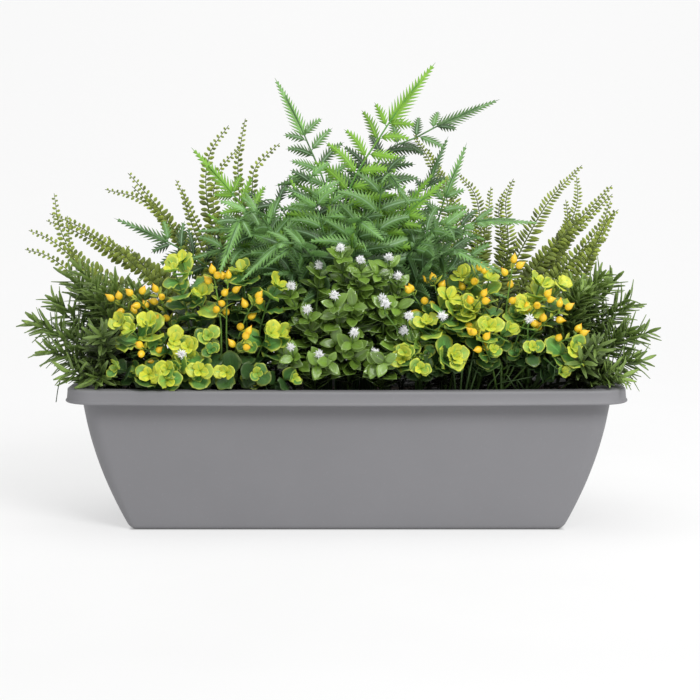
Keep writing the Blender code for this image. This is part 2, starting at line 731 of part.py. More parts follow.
def build_fern(entry, path, facing, group):
    name, colour, hole, points, reach, turn = entry
    body = Growth(name)
    total = path.length
    spots, stops = fern_stops(path)
    first = spots[0]
    low = 3 + 2 * FERN_LONG

    def radius_at(distance):
        return 1.7 - 0.95 * distance / total

    def reach_at(distance):
        share = (distance - first) / (total - first)
        return reach * (0.82 + 0.9 * share) if share < 0.2 else reach * (1.0 - 0.84 * (share - 0.2) / 0.8)

    def grow(mesh, index, side, quad):
        if side == 0 or index < 3 or index < low and (index - 3) % 2 or index == low - 1:
            return False
        spot = 0.5 * (stops[index] + stops[index + 1])
        share = (spot - first) / (total - first)
        along, across, normal = frame_at(path, spot, facing)
        sign = 1.0 if side == 2 else -1.0
        lean = math.radians(68 - 26 * share)
        out = along * math.cos(lean) + across * (sign * math.sin(lean))
        length = reach_at(spot)
        start = quad_centre(mesh, quad)
        if index >= low:
            for scale in (1.0, 0.6):
                if mesh.spike(quad, start + (out * length - UP * 1.0) * scale):
                    return True
            return False
        turned = (quad[3], quad[0], quad[1], quad[2]) if side == 2 else (quad[1], quad[2], quad[3], quad[0])
        for size, lift in PINNA_TRIES:
            aim = (out + normal * lift).normalized()
            if grow_leaf(mesh, turned, start, aim, normal, length * size, length * size * 0.4, PINNA_SHAPE, -0.16):
                return True
        return False

    body.shoot(path, stops, radius_at, facing, grow, tip=LEAD["fern"])
    return make_object(name, body.verts, body.faces, colour, group)


def sword_stops(path):
    """The stops of a sword fern's rib: bare below, then one for each pair of leaflets."""
    total = path.length
    first = max(total * 0.42, total - 175.0)
    stops = [0.0, 28.0, 0.5 * (28.0 + first), first]
    for k in range(1, SWORD_PAIRS + 1):
        stops.append(first + (total - first - 4.0) * (k / SWORD_PAIRS) ** 0.95)
    return stops


def plan_sword(entry):
    name, hole, points, turn = entry
    full = [(hole[0], hole[1], STUB_BOTTOM), (hole[0], hole[1], 139.0)] + points
    return Path(full, True), Matrix.Rotation(math.radians(turn), 3, "Z") @ Vector((0.0, -0.9, 0.5))


def build_sword(entry, path, facing, group):
    name, hole, points, turn = entry
    body = Growth(name)
    total = path.length
    pairs = SWORD_PAIRS
    stops = sword_stops(path)

    def radius_at(distance):
        return 1.5 - 0.85 * distance / total

    def grow(mesh, index, side, quad):
        if side == 0 or index < 3:
            return False
        share = (index - 3) / pairs
        middle = 0.5 * (stops[index] + stops[index + 1])
        along, across, normal = frame_at(path, middle, facing)
        sign = 1.0 if side == 2 else -1.0
        length = 14.5 * (1.0 - 0.62 * share ** 1.4) * (0.75 + 0.25 * min(1.0, index - 2))
        out = across * sign + along * 0.42 - normal * 0.12
        start = quad_centre(mesh, quad)
        for scale, lift in ((1.0, 0.0), (1.0, 0.4), (1.0, -0.4), (0.7, 0.0), (0.5, 0.3)):
            if mesh.spike(quad, start + (out + normal * lift).normalized() * (length * scale)):
                return True
        return False

    body.shoot(path, stops, radius_at, facing, grow, tip=LEAD["sword"])
    return make_object(name, body.verts, body.faces, "sword", group)


# Picks with several shoots on one stem
def sprig_path(hole, tip, height, jitter, rng):
    """A shoot that leaves the stem sideways at a height and rises to its tip."""
    start = Vector((hole[0], hole[1], height))
    end = Vector(tip)
    reach = end - start
    flat = Vector((reach.x, reach.y, 0.0))
    away = flat.normalized() if flat.length > 1.0 else Vector((0.0, -1.0, 0.0))
    leave = start + away * 7.0 + UP * (6.0 if reach.z > 30.0 else 3.0)
    bend = start + Vector((reach.x * 0.4, reach.y * 0.4, max(9.0, reach.z * 0.52)))
    late = start + Vector((reach.x * 0.75, reach.y * 0.75, max(10.0, reach.z * 0.86)))
    if jitter:
        for point in (bend, late):
            point += Vector((rng.uniform(-1, 1), rng.uniform(-1, 1), rng.uniform(-0.6, 0.6))) * jitter
    return Path([start, leave, bend, late, end])


def leafy_rows(kind, total):
    """How far along a shoot its whorls sit, as shares of its length."""
    if kind == "round":
        if total < 55:
            return [0.97]
        return [0.62, 0.97] if total < 112 else [0.45, 0.72, 0.97]
    if kind == "box":
        return [0.5, 0.93] if total < 100 else [0.4, 0.64, 0.93]
    return [0.8, 0.985]


def shoot_stops(kind, total):
    """The stops along a shoot's stem."""
    if kind == "narrow":
        first = total * 0.30
        whorls = [first + (total - first) * k / NARROW_WHORLS for k in range(NARROW_WHORLS + 1)]
        return [0.0, first * 0.5] + whorls
    rows = leafy_rows(kind, total)
    half = 0.8 if kind == "fruit" else 0.9
    first = total * rows[0]
    stops = [0.0, first * 0.45]
    for row in rows:
        stops += [total * row - half, total * row + half]
    stops[-1] = min(stops[-1], total)
    return stops


def plan_pick(kind, name, hole, tips, radius):
    """Finds clear lines for all the shoots of one pick and reserves them."""
    rng = random.Random(name)
    order = sorted(tips, key=lambda tip: tip[2])
    top = SHOOT_FROM + 1.0 + SHOOT_STEP * len(order)
    stem = Path([(hole[0], hole[1], STUB_BOTTOM), (hole[0], hole[1], 136.0), (hole[0], hole[1], top)])
    verts, faces = plain_tube(stem, STEM_RADIUS, FRONT, stem_stops(stem), 2.0, stem_twist)
    if not is_free(name, verts, faces, 0.3, own_too=False):
        print(f"NOTE the stem of {name} is blocked")
    take(name, verts, faces, 0)
    paths = []
    for number, tip in enumerate(order):
        found = None
        for attempt in range(80):
            path = sprig_path(hole, tip, SHOOT_FROM + SHOOT_STEP * number, attempt * 0.3, rng)
            verts, faces = plain_tube(path, radius, UP, shoot_stops(kind, path.length), LEAD[kind])
            if is_free(name, verts, faces, 0.5, own_too=False):
                found = path
                break
        if found is None:
            print(f"NOTE no way for the shoot of {name} to {tip}")
            continue
        take(name, verts, faces, number + 1)
        paths.append((number + 1, found))
    return stem, paths


def stem_stops(stem):
    """The foot of a pick's stem and the rings from where its shoots leave it to its top."""
    low = SHOOT_FROM - 3.0 - STUB_BOTTOM
    high = stem.length - 0.5
    steps = max(2, round((high - low) / 12.0))
    return [0.0] + [low + (high - low) * k / steps for k in range(steps + 1)]


def stem_twist(distance):
    """The stem's sides turn as they climb, so that no two of its faces lie in one plane."""
    return math.radians(2.3 * max(0.0, distance - (SHOOT_FROM - 3.0 - STUB_BOTTOM)))


def stub_mesh(stem):
    body = Growth("stub")

    def radius_at(distance):
        return STEM_RADIUS

    body.shoot(stem, stem_stops(stem), radius_at, FRONT, None, stem_twist, tip=2.0)
    return body


def side_direction(body, quad, path, distance):
    along = path.along(distance)
    out = quad_centre(body, quad) - path.point(distance)
    out -= along * out.dot(along)
    return along, out.normalized()


def build_narrow(name, stem, paths, group):
    parts = [stub_mesh(stem)]
    rng = random.Random(name + "leaves")
    for number, path in paths:
        body = Growth(name, number)
        total = path.length
        count = NARROW_WHORLS
        stops = shoot_stops("narrow", total)

        def radius_at(distance, total=total):
            return 1.55 - 0.55 * distance / total

        def twist_at(distance, offset=number):
            return math.radians(4.6 * distance + 40 * offset)

        def grow(mesh, index, side, quad, path=path, stops=stops, count=count):
            if index < 2:
                return False
            share = (index - 2) / (count - 1)
            middle = 0.5 * (stops[index] + stops[index + 1])
            along, out = side_direction(mesh, quad, path, middle)
            start = quad_centre(mesh, quad)
            rise = 0.55 + 0.9 * share
            length = 25.0 * (1.0 - 0.18 * share) * rng.uniform(0.88, 1.1)
            for scale, lift in ((1.0, 0.0), (1.0, 0.6), (0.95, -0.35), (0.75, 0.2), (0.55, 0.0), (0.4, 0.6)):
                aim = (out + along * (rise + lift) + UP * 0.05).normalized()
                if mesh.spike(quad, start + aim * (length * scale)):
                    return True
            return False

        body.shoot(path, stops, radius_at, UP, grow, twist_at, tip=LEAD["narrow"])
        parts.append(body)
    return join_parts(name, [(part.verts, part.faces) for part in parts], "narrow", group)


def leafy_shoot(body, kind, path, radius, rise_low, rise_high, size, shape, rng, offset, lead):
    """A shoot with whorls of leaves; lead is left bare at the tip."""
    total = path.length
    rows = leafy_rows(kind, total)
    stops = shoot_stops(kind, total)

    def radius_at(distance):
        return radius * (1.0 - 0.35 * distance / total)

    def twist_at(distance):
        nearest = min(range(len(rows)), key=lambda k: abs(total * rows[k] - distance))
        return math.radians(60 * nearest + offset)

    def grow(mesh, index, side, quad):
        if index % 2 or index < 2:
            return False
        number = (index - 2) // 2
        share = number / max(1, len(rows) - 1)
        if share < 0.99 and side == (number + int(offset)) % 3:
            return False
        middle = 0.5 * (stops[index] + stops[index + 1])
        along, out = side_direction(mesh, quad, path, middle)
        start = quad_centre(mesh, quad)
        rise = rise_low + (rise_high - rise_low) * share
        scale = size * (1.0 - 0.3 * max(0.0, share - 0.6) / 0.4) * rng.uniform(0.9, 1.08)
        for factor, lift, turn in ((1.0, 0.0, 0.0), (1.0, 0.35, 0.0), (1.0, -0.3, 0.0), (1.0, 0.1, 0.4),
                                   (1.0, 0.1, -0.4), (0.8, 0.0, 0.0), (0.8, 0.5, 0.2), (0.62, 0.0, 0.0),
                                   (0.62, 0.5, -0.2)):
            spin = Matrix.Rotation(turn, 3, along)
            aim = (spin @ out + along * (rise + lift)).normalized()
            long, wide, rim, cup = shape
            if grow_leaf(mesh, quad, start, aim, along, scale * factor * long, scale * factor * wide, rim, cup):
                return True
        return False

    body.shoot(path, stops, radius_at, UP, grow, twist_at, tip=lead)


def build_round(name, stem, paths, group):
    parts = [stub_mesh(stem)]
    rng = random.Random(name + "leaves")
    for number, path in paths:
        body = Growth(name, number)
        leafy_shoot(body, "round", path, 1.5, 0.15, 0.45, 1.0, (21.0, 21.0, ROUND_SHAPE, 0.12), rng, 37 * number, 3.0)
        parts.append(body)
    return join_parts(name, [(part.verts, part.faces) for part in parts], "round", group)


def build_box(name, stem, paths, group):
    parts = [stub_mesh(stem)]
    rng = random.Random(name + "leaves")
    for number, path in paths:
        body = Growth(name, number)
        leafy_shoot(body, "box", path, 1.4, 0.3, 0.8, 1.0, (21.0, 13.0, BOX_SHAPE, 0.1), rng, 23 * number, 2.0)
        parts.append(body)
        parts.append(flower_head(name, path))
    parts = [part for part in parts if part is not None]
    return join_parts(name, [(part.verts, part.faces) for part in parts], "box", group)


def flower_head(name, path):
    """A spiky round head on a short stalk, standing on the tip of a shoot."""
    body = Growth(name)
    end = path.point(path.length)
    for lean in (Vector((0.0, -0.35, 1.0)), Vector((0.35, -0.5, 1.0)), Vector((-0.35, -0.5, 1.0))):
        line = Path([end - UP * 2.0, end + lean * 5.0, end + lean * 14.0])
        verts, faces = plain_tube(line, 3.2, UP, [0.0, line.length * 0.5, line.length], 3.0)
        if is_free(name, verts, faces, 0.3, False):
            break
    else:
        return None
    take(name, verts, faces)
    total = line.length
    stops = [0.0, total - 6.5, total - 3.2, total]

    def radius_at(distance):
        if distance < total - 6.0:
            return 0.9
        return 2.4 if distance < total - 1.0 else 1.5

    def twist_at(distance):
        return math.radians(60.0) if abs(distance - (total - 3.2)) < 1.0 else 0.0

    def grow(mesh, index, side, quad):
        if index == 0:
            return False
        centre = line.point(total - 3.0)
        start = quad_centre(mesh, quad)
        point = mesh.add([start + (start - centre).normalized() * 3.0])[0]
        for k in range(4):
            mesh.faces.append((quad[k], quad[(k + 1) % 4], point))
        return True

    body.shoot(line, stops, radius_at, UP, grow, twist_at, tip=3.0)
    return body


def build_fruit(name, stem, paths, group):
    parts = [stub_mesh(stem)]
    rng = random.Random(name + "fruit")
    for number, path in paths:
        body = Growth(name, number)
        total = path.length
        stops = shoot_stops("fruit", total)

        def radius_at(distance, total=total):
            return 1.25 - 0.35 * distance / total

        def twist_at(distance, total=total, offset=number):
            return math.radians(50.0 * offset + (60.0 if distance > total * 0.9 else 0.0))

        def grow(mesh, index, side, quad, path=path, stops=stops):
            if index < 2 or index % 2:
                return False
            number = (index - 2) // 2
            if number == 0 and side != len(path.line) % 3:
                return False
            if number == 1 and side == 0:
                return False
            middle = 0.5 * (stops[index] + stops[index + 1])
            along, out = side_direction(mesh, quad, path, middle)
            start = quad_centre(mesh, quad)
            for lift in (0.7, 1.4, 0.2, 2.4, -0.3):
                aim = (out + along * lift).normalized()
                across = aim.cross(along)
                if across.length < 0.05:
                    continue
                across.normalize()
                other = aim.cross(across)
                stalk = rng.uniform(6.0, 10.0)
                rings = []
                for distance, radius in ((stalk, 0.7), (stalk + 3.2, 4.2)):
                    centre = start + aim * distance
                    ring = []
                    for corner in quad:
                        side_vector = mesh.verts[corner] - start
                        x = side_vector.dot(across)
                        y = side_vector.dot(other)
                        angle = math.atan2(y, x)
                        ring.append(centre + (across * math.cos(angle) + other * math.sin(angle)) * radius)
                    rings.append(ring)
                if mesh.fruit(quad, rings, start + aim * (stalk + 9.5)):
                    return True
            return False

        body.shoot(path, stops, radius_at, UP, grow, twist_at, tip=LEAD["fruit"])
        parts.append(body)
    return join_parts(name, [(part.verts, part.faces) for part in parts], "fruit", group)


def fill_height(tree, x, y, reach):
    """The highest point of the filling near a place."""
    best = FILL_TOP
    for step in range(-4, 5):
        for shift in (-1.0, 0.0, 1.0):
            hit = tree.ray_cast(Vector((x + reach * step / 4.0, y + shift, 200.0)), -UP)
            if hit[0] is not None:
                best = max(best, hit[0].z)
    return best


def build_moss(name, x_from, x_to, seed, tree, group):
    """A strip of moss along the front edge of the filling, with pointed tufts."""
    rng = random.Random(seed)
    body = Growth(name)
    columns = 13
    y_front, y_back = -72.0, -64.0
    reach = (x_to - x_from) / columns
    grid = []
    for k in range(columns + 1):
        x = x_from + (x_to - x_from) * k / columns
        wave = 1.0 * math.sin(k * 1.7)
        front = fill_height(tree, x, y_front + wave, reach) + GAP
        back = fill_height(tree, x, y_back + wave, reach) + GAP
        row = body.add([(x, y_front + wave, front), (x, y_back + wave, back),
                        (x, y_back + wave, back + 3.0), (x, y_front + wave, front + 3.0)])
        grid.append(row)
    body.faces += [(grid[0][0], grid[0][2], grid[0][1]), (grid[0][0], grid[0][3], grid[0][2])]
    last = grid[-1]
    body.faces += [(last[0], last[1], last[2]), (last[0], last[2], last[3])]
    for k in range(columns):
        a, b = grid[k], grid[k + 1]
        for side in range(4):
            quad = (a[side], a[(side + 1) % 4], b[(side + 1) % 4], b[side])
            if side == 0:
                body.close_side(quad)
                continue
            start = quad_centre(body, quad)
            lean = {1: Vector((0, 0.8, 0.8)), 2: Vector((0, -0.1, 1.0)), 3: Vector((0, -0.9, 0.6))}[side]
            for size in (1.0, 0.6, 0.3):
                tip = start + (lean + Vector((rng.uniform(-0.6, 0.6), 0, 0))) * (rng.uniform(5.0, 9.0) * size)
                if body.spike(quad, tip):
                    break
            else:
                body.close_side(quad)
    return make_object(name, body.verts, body.faces, "moss", group)


def take_object(obj):
    verts = [v.co / MM for v in obj.data.vertices]
    faces = []
    for poly in obj.data.polygons:
        ids = list(poly.vertices)
        faces += [(ids[0], ids[k], ids[k + 1]) for k in range(1, len(ids) - 1)]
    lo, hi = bounds(verts)
    TAKEN.append((obj.name, 0, lo, hi, BVHTree.FromPolygons(verts, faces)))


HOLES = [(e[2][0], e[2][1], 1.7) for e in CENTRE_FERN]
HOLES += [(e[1][0], e[1][1], 1.5) for e in SWORD_FERN]
HOLES += [(e[1][0], e[1][1], STEM_RADIUS) for e in NARROW_PICKS + ROUND_PICKS + FRUIT_SPRAYS + BOX_PICKS]


def reserve(name, path, stops, radius, facing, lead):
    verts, faces = plain_tube(path, radius, facing, stops, lead)
    for other, stem, other_lo, other_hi, other_tree in TAKEN:
        if other != name and BVHTree.FromPolygons(fattened(verts, faces, 0.2), faces).overlap(other_tree):
            print(f"NOTE {name} rib meets {other}")
    take(name, verts, faces, 0)


def main():
    clear_scene()
    group = bpy.data.collections.new("mixed_flower_planter")
    bpy.context.scene.collection.children.link(group)
    cutters = bpy.data.collections.new("cutters")
    cutters.hide_render = True
    bpy.context.scene.collection.children.link(cutters)
    trough = build_trough(group)
    fill = build_fill(group, cutters)
    take_object(trough)
    take_object(fill)
    ferns = [(entry,) + plan_fern(entry) for entry in CENTRE_FERN]
    swords = [(entry,) + plan_sword(entry) for entry in SWORD_FERN]
    for entry, path, facing in ferns:
        reserve(entry[0], path, fern_stops(path)[1], 1.75, facing, LEAD["fern"])
    for entry, path, facing in swords:
        reserve(entry[0], path, sword_stops(path), 1.5, facing, LEAD["sword"])
    picks = []
    for kind, table, radius in (("box", BOX_PICKS, 1.4), ("round", ROUND_PICKS, 1.5),
                                ("fruit", FRUIT_SPRAYS, 1.25), ("narrow", NARROW_PICKS, 1.6)):
        for name, hole, tips in table:
            stem, paths = plan_pick(kind, name, hole, tips, radius)
            picks.append((kind, name, stem, paths))
    for entry, path, facing in ferns:
        build_fern(entry, path, facing, group)
    builders = {"box": build_box, "round": build_round, "fruit": build_fruit, "narrow": build_narrow}
    for kind, name, stem, paths in picks:
        builders[kind](name, stem, paths, group)
    for entry, path, facing in swords:
        build_sword(entry, path, facing, group)
    for name, x_from, x_to, seed in MOSS:
        build_moss(name, x_from, x_to, seed, TAKEN[1][4], group)


main()
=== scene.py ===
"""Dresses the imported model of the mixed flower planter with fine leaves, fruits, moss and soil."""
import math
import random

import bmesh
import bpy
import numpy as np
from mathutils import Matrix, Vector
from mathutils.bvhtree import BVHTree


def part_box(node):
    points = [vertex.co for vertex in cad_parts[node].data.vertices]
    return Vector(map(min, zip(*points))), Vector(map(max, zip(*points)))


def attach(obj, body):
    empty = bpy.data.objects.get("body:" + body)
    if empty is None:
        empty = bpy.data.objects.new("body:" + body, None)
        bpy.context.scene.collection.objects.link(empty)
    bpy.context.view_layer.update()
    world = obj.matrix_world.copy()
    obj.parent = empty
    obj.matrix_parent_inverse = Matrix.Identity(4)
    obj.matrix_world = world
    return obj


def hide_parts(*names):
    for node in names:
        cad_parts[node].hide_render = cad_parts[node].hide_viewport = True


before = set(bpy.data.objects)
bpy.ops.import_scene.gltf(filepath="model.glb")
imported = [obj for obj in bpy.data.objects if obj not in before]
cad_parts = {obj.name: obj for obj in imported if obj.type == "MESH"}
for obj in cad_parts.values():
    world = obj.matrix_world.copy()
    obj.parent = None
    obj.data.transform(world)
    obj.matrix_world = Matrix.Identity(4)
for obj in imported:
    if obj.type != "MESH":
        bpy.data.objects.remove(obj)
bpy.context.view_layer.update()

bl_info = {
    "name": "Mixed Flower Planter",
    "version": (1, 0, 0),
    "blender": (4, 5, 0),
    "location": "3D View > Sidebar > Planter",
    "description": "Builds a long trough with ferns, mixed leaves, fruit sprays and white flower heads",
    "category": "Add Mesh",
}

# All sizes are in millimetres until a mesh is made
MM = 0.001
UP = Vector((0.0, 0.0, 1.0))
STUB_BOTTOM = 108.0
SHOOT_FROM = 142.0
SHOOT_STEP = 7.6
SHOOT_SPREAD = 20.0
FROND_FOOT = 139.0
PICK_FOOT = 136.0
# Slots of a plant's materials: leaves, stems, and flowers or fruits
LEAF, STEM, HEAD = 0, 1, 2
# Angles in radians: the range of a random turn, the turns from leaf to leaf
ANY_TURN = 6.28
FULL_TURN = 6.283
QUARTER_TURN = 1.57
GOLDEN_ANGLE = 2.39996
NARROW_TURN = 2.4
BOX_TURN = 1.3
FRUIT_TURN = 2.3

# The trough
TROUGH_LOW, TROUGH_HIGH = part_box("trough")
TROUGH_HEIGHT = TROUGH_HIGH.z / MM
RIM_LENGTH = (TROUGH_HIGH.x - TROUGH_LOW.x) / MM
RIM_DEPTH = 200.0
RIM_HEIGHT = 15.0
RIM_OVERHANG = 17.0
RIM_BOW = 11.0
RIM_CORNER = 32.0
WALL = 3.0
BODY_CORNER = 21.0
BASE_CORNER = 8.0
BASE_INSET_X = 49.0
BASE_INSET_Y = 13.0
FOOT_RADIUS = 6.0
FOOT_STEPS = 6
FOOT_RECESS = 0.8
FOOT_WIDTH = 3.0
WALL_SLOPE = 0.39
CORNER_STEPS = 12
SIDE_STEPS = 30
# Heights of the plan outlines on the sides: even steps up to one height, then one under the rim
SIDE_LEVELS = 14
SIDE_TOP = 118.0
UNDER_RIM = 134.0
INSIDE_HEIGHTS = (130.0, 110.0, 92.0, 74.0, 56.0, 40.0, 24.0, WALL + 6.0)

# Centre fern: colour, hole in the filling, points on the frond, longest branch, turn in degrees
CENTRE_FERN = [
    ("lime", (-12, 22), [(-10, 18, 240), (-2, 8, 350), (42, 6, 430), (92, 4, 498)], 60, 0),
    ("dark", (6, 44), [(8, 54, 250), (32, 66, 388), (86, 80, 426), (170, 96, 467)], 56, -24),
    ("dark", (-24, 46), [(-18, 54, 240), (-18, 66, 342), (-48, 82, 424), (-79, 100, 488)], 56, 20),
    ("lime", (-40, 26), [(-60, 28, 230), (-90, 24, 310), (-120, 14, 352), (-164, 0, 406)], 54, 14),
    ("dark", (-58, 8), [(-90, 8, 215), (-140, 2, 268), (-188, -8, 303), (-246, -22, 332)], 50, -18),
    ("dark", (-46, -8), [(-62, -12, 240), (-88, -22, 330), (-112, -48, 335), (-133, -80, 280)], 50, 26),
    ("dark", (26, -4), [(46, -4, 220), (76, -14, 292), (140, -30, 330), (201, -44, 333)], 52, 8),
    ("dark", (38, 22), [(62, 18, 220), (92, 12, 300), (111, 6, 364), (130, -2, 408)], 46, 30),
    ("dark", (30, 50), [(50, 60, 250), (82, 76, 338), (113, 96, 420)], 46, -34),
    ("lime", (12, 10), [(22, 4, 230), (50, -6, 318), (104, -18, 373)], 46, 12),
    ("dark", (-22, -6), [(-26, -22, 230), (-38, -50, 296), (-72, -78, 308), (-108, -98, 276)], 46, 0),
    ("dark", (4, -10), [(5, -18, 240), (10, -42, 318), (22, -66, 335), (34, -92, 318)], 46, 0),
    ("dark", (46, -6), [(58, -28, 216), (86, -42, 284), (120, -64, 302), (150, -88, 284)], 44, 0),
]

# Sword ferns: hole, points on the frond, turn in degrees
SWORD_FERN = [
    ((-152, 30), [(-200, 38, 208), (-271, 42, 252), (-328, 42, 303), (-358, 40, 318)], 10),
    ((-150, 42), [(-205, 54, 222), (-300, 62, 280), (-327, 68, 316), (-335, 74, 359)], 20),
    ((-146, 54), [(-195, 72, 245), (-275, 86, 298), (-310, 94, 320), (-346, 102, 335)], -10),
    ((-140, 20), [(-172, 26, 215), (-212, 28, 256), (-240, 26, 282), (-268, 22, 312)], 0),
    ((-132, 66), [(-160, 84, 250), (-200, 96, 313), (-237, 102, 350), (-282, 108, 363)], 20),
    ((-136, 44), [(-165, 60, 265), (-208, 70, 332), (-236, 76, 366), (-251, 80, 382)], -20),
    ((-120, 60), [(-148, 78, 260), (-178, 92, 333), (-199, 104, 374)], 25),
    ((-126, 32), [(-146, 40, 250), (-174, 42, 323), (-185, 40, 365)], -15),
    ((-112, 48), [(-135, 56, 250), (-158, 62, 345), (-157, 66, 400), (-134, 68, 436)], 10),
    ((-106, 66), [(-116, 84, 260), (-126, 98, 378), (-123, 106, 416), (-118, 112, 445)], -30),
    ((-94, 56), [(-104, 66, 260), (-108, 76, 372), (-98, 80, 396), (-77, 84, 416)], 20),
    ((110, 66), [(122, 84, 250), (116, 94, 351), (99, 100, 391), (77, 106, 427)], 25),
    ((120, 50), [(142, 64, 240), (154, 72, 301), (148, 76, 355), (128, 80, 380)], -10),
    ((130, 66), [(150, 84, 250), (162, 98, 312), (168, 108, 366)], 30),
    ((132, 36), [(160, 44, 225), (182, 46, 289), (179, 44, 349), (187, 40, 376)], 0),
    ((142, 48), [(172, 58, 230), (196, 64, 288), (230, 68, 349), (268, 70, 391)], -20),
    ((146, 62), [(200, 80, 225), (241, 92, 283), (267, 102, 343), (268, 110, 378)], 15),
    ((158, 52), [(188, 66, 225), (222, 74, 280), (284, 80, 346), (305, 84, 368)], -15),
    ((152, 34), [(195, 44, 222), (248, 50, 276), (286, 53, 320), (299, 55, 351)], 25),
    ((142, 20), [(195, 30, 212), (261, 30, 271), (290, 26, 328), (302, 20, 342)], 0),
]

# Picks: place, hole, tips of the shoots
NARROW_PICKS = [
    ("left_front", (-252, -46), [(-350, -42, 226), (-336, -62, 196), (-308, -84, 176), (-276, -86, 214)]),
    ("left_back", (-250, -8), [(-346, -14, 256), (-330, 2, 280), (-300, 16, 268)]),
    ("left_inner", (-230, -26), [(-312, -28, 290), (-272, -30, 276), (-238, -24, 262)]),
    ("right_front", (246, -46), [(340, -42, 214), (330, -62, 186), (304, -84, 172), (276, -86, 204)]),
    ("right_back", (244, -8), [(334, -14, 250), (318, 2, 276), (294, 16, 262)]),
    ("right_inner", (224, -26), [(298, -28, 284), (268, -30, 272), (236, -24, 250)]),
]
ROUND_PICKS = [
    ("left_outer", (-204, -58), [(-236, -82, 226), (-242, -88, 178), (-208, -92, 172), (-208, -76, 224),
                                 (-182, -86, 206)]),
    ("left_middle", (-158, -46), [(-176, -50, 288), (-154, -62, 254), (-180, -92, 178), (-154, -94, 176),
                                  (-146, -86, 212)]),
    ("left_inner", (-104, -58), [(-112, -46, 278), (-74, -58, 262), (-80, -80, 214), (-126, -92, 174),
                                 (-94, -94, 174), (-56, -92, 168)]),
    ("right_inner", (78, -58), [(108, -66, 250), (84, -76, 226), (62, -88, 196), (78, -92, 178),
                                (112, -90, 190)]),
    ("right_middle", (138, -48), [(124, -50, 272), (152, -54, 268), (132, -70, 236), (154, -88, 198),
                                  (172, -78, 218)]),
    ("right_outer", (194, -58), [(206, -54, 264), (228, -56, 262), (186, -66, 240), (196, -88, 200),
                                 (234, -80, 196), (226, -90, 174)]),
]
FRUIT_SPRAYS = [
    ("left_outer", (-182, -30), [(-242, -62, 244), (-222, -72, 250), (-200, -62, 252), (-212, -96, 200)]),
    ("left_inner", (-130, -58), [(-140, -74, 272), (-126, -66, 266), (-98, -76, 246), (-108, -94, 208)]),
    ("right_inner", (108, -32), [(72, -66, 252), (94, -60, 264), (138, -64, 276), (140, -84, 250)]),
    ("right_outer", (166, -60), [(176, -66, 282), (138, -94, 212), (206, -84, 250), (224, -80, 236),
                                 (240, -88, 212)]),
]
BOX_PICKS = [
    ("left", (-36, -54), [(-60, -60, 252), (-40, -72, 228), (-56, -86, 190), (-28, -58, 274),
                          (-30, -92, 182)]),
    ("middle", (0, -46), [(-6, -54, 292), (14, -66, 280), (-12, -84, 244), (6, -94, 206), (22, -56, 268)]),
    ("right", (38, -54), [(56, -58, 262), (40, -76, 240), (62, -78, 206), (32, -92, 184), (46, -54, 282)]),
]
# Further white heads among the round leaves: foot and end of each stalk
EXTRA_HEADS = {
    "round_leaf_left_middle": [((-158, -48, 164), (-174, -92, 185))],
    "round_leaf_right_inner": [((78, -60, 170), (40, -92, 238)), ((78, -60, 170), (64, -92, 225)),
                               ((78, -60, 170), (99, -92, 225))],
    "round_leaf_right_outer": [((194, -60, 170), (190, -92, 222))],
}
LIME_TIPS = [(-60, 8, 372), (-20, -16, 352), (30, 4, 392), (62, -10, 366), (92, 14, 378), (-96, -12, 330),
             (-150, 6, 336), (8, -30, 330)]
MOSS = [("moss_left", -262, -120, 11), ("moss_right", 130, 262, 12)]

# Bare stems at the front on the right: a fan of pick stems, then thin curled ones
FAN_ROOT = (118, -68)
FAN_TOPS = [(112, -78, 192), (124, -76, 196), (136, -74, 198), (146, -70, 196)]
CURLS = [
    [(150, -66, 136), (158, -76, 158), (178, -80, 164), (198, -78, 168)],
    [(152, -66, 136), (150, -78, 156), (160, -80, 170), (166, -72, 178)],
    [(166, -68, 136), (168, -80, 170), (176, -84, 160), (184, -74, 150), (186, -66, 138)],
    [(190, -66, 136), (182, -80, 158), (180, -84, 166), (190, -80, 152), (200, -70, 138)],
    [(-258, -40, 138), (-284, -52, 170), (-303, -58, 168), (-309, -60, 156), (-312, -62, 138)],
]

# Long blades that hang over the right end: root, tip
LONG_BLADES = [((284, -50, 182), (309, -62, 154)), ((290, -46, 184), (320, -54, 152)),
               ((272, -60, 180), (300, -86, 166))]

# Leaves and crumbs: distances along a shoot, widths and counts
NARROW_GAP = 1.9
NARROW_WIDTH = 4.7
WHORL_GAP = 12.5
BACKING_SHOOTS = 32
PETALS = 84
PETAL_WIDTH = 1.25
# How far down a head its petals go, from 0 for none to 2 for a whole ball
HEAD_COVER = 1.72
MOSS_FIBRES = 800
SOIL_CRUMBS = 1900
# Where fruits stand on a twig, and half a fruit's outline: distance along it, share of its radius
FRUIT_SPOTS = (0.66, 0.78, 0.89, 0.985, 1.0)
FRUIT_PROFILE = [(0.0, 0.12), (0.05, 0.5), (0.17, 0.86), (0.34, 1.0), (0.5, 0.92), (0.65, 0.66),
                 (0.78, 0.36), (0.9, 0.16), (1.0, 0.03)]
FRUIT_SIDES = 12
# Length of a fruit for a radius of 1
FRUIT_LENGTH = 2.95
# Leaves keep off the trough: x and y beyond the rim and within the wall, and height over the filling
CLEAR_OUTSIDE = (304.0, 114.0)
CLEAR_INSIDE = (272.0, 78.0)
CLEAR_SOIL = 138.0
# Limits for the tips of further shoots: left, right, to the front and back, and above the floor
TIPS_LEFT = -352.0
TIPS_RIGHT = 345.0
TIPS_DEPTH = 96.0
TIPS_LOWEST = 164.0
# The low fronds stand in a row: how many, from where and how far apart, and the highest tip
LOW_FRONDS = 31
LOW_FROM = -176.0
LOW_STEP = 11.8
LOW_TOP = 386.0
# Crumbs lie this far from the middle of the filling, and none on its edge, which is lower
CRUMBS_X = 262.0
CRUMBS_Y = 74.0
CRUMBS_LOWEST = 133.0
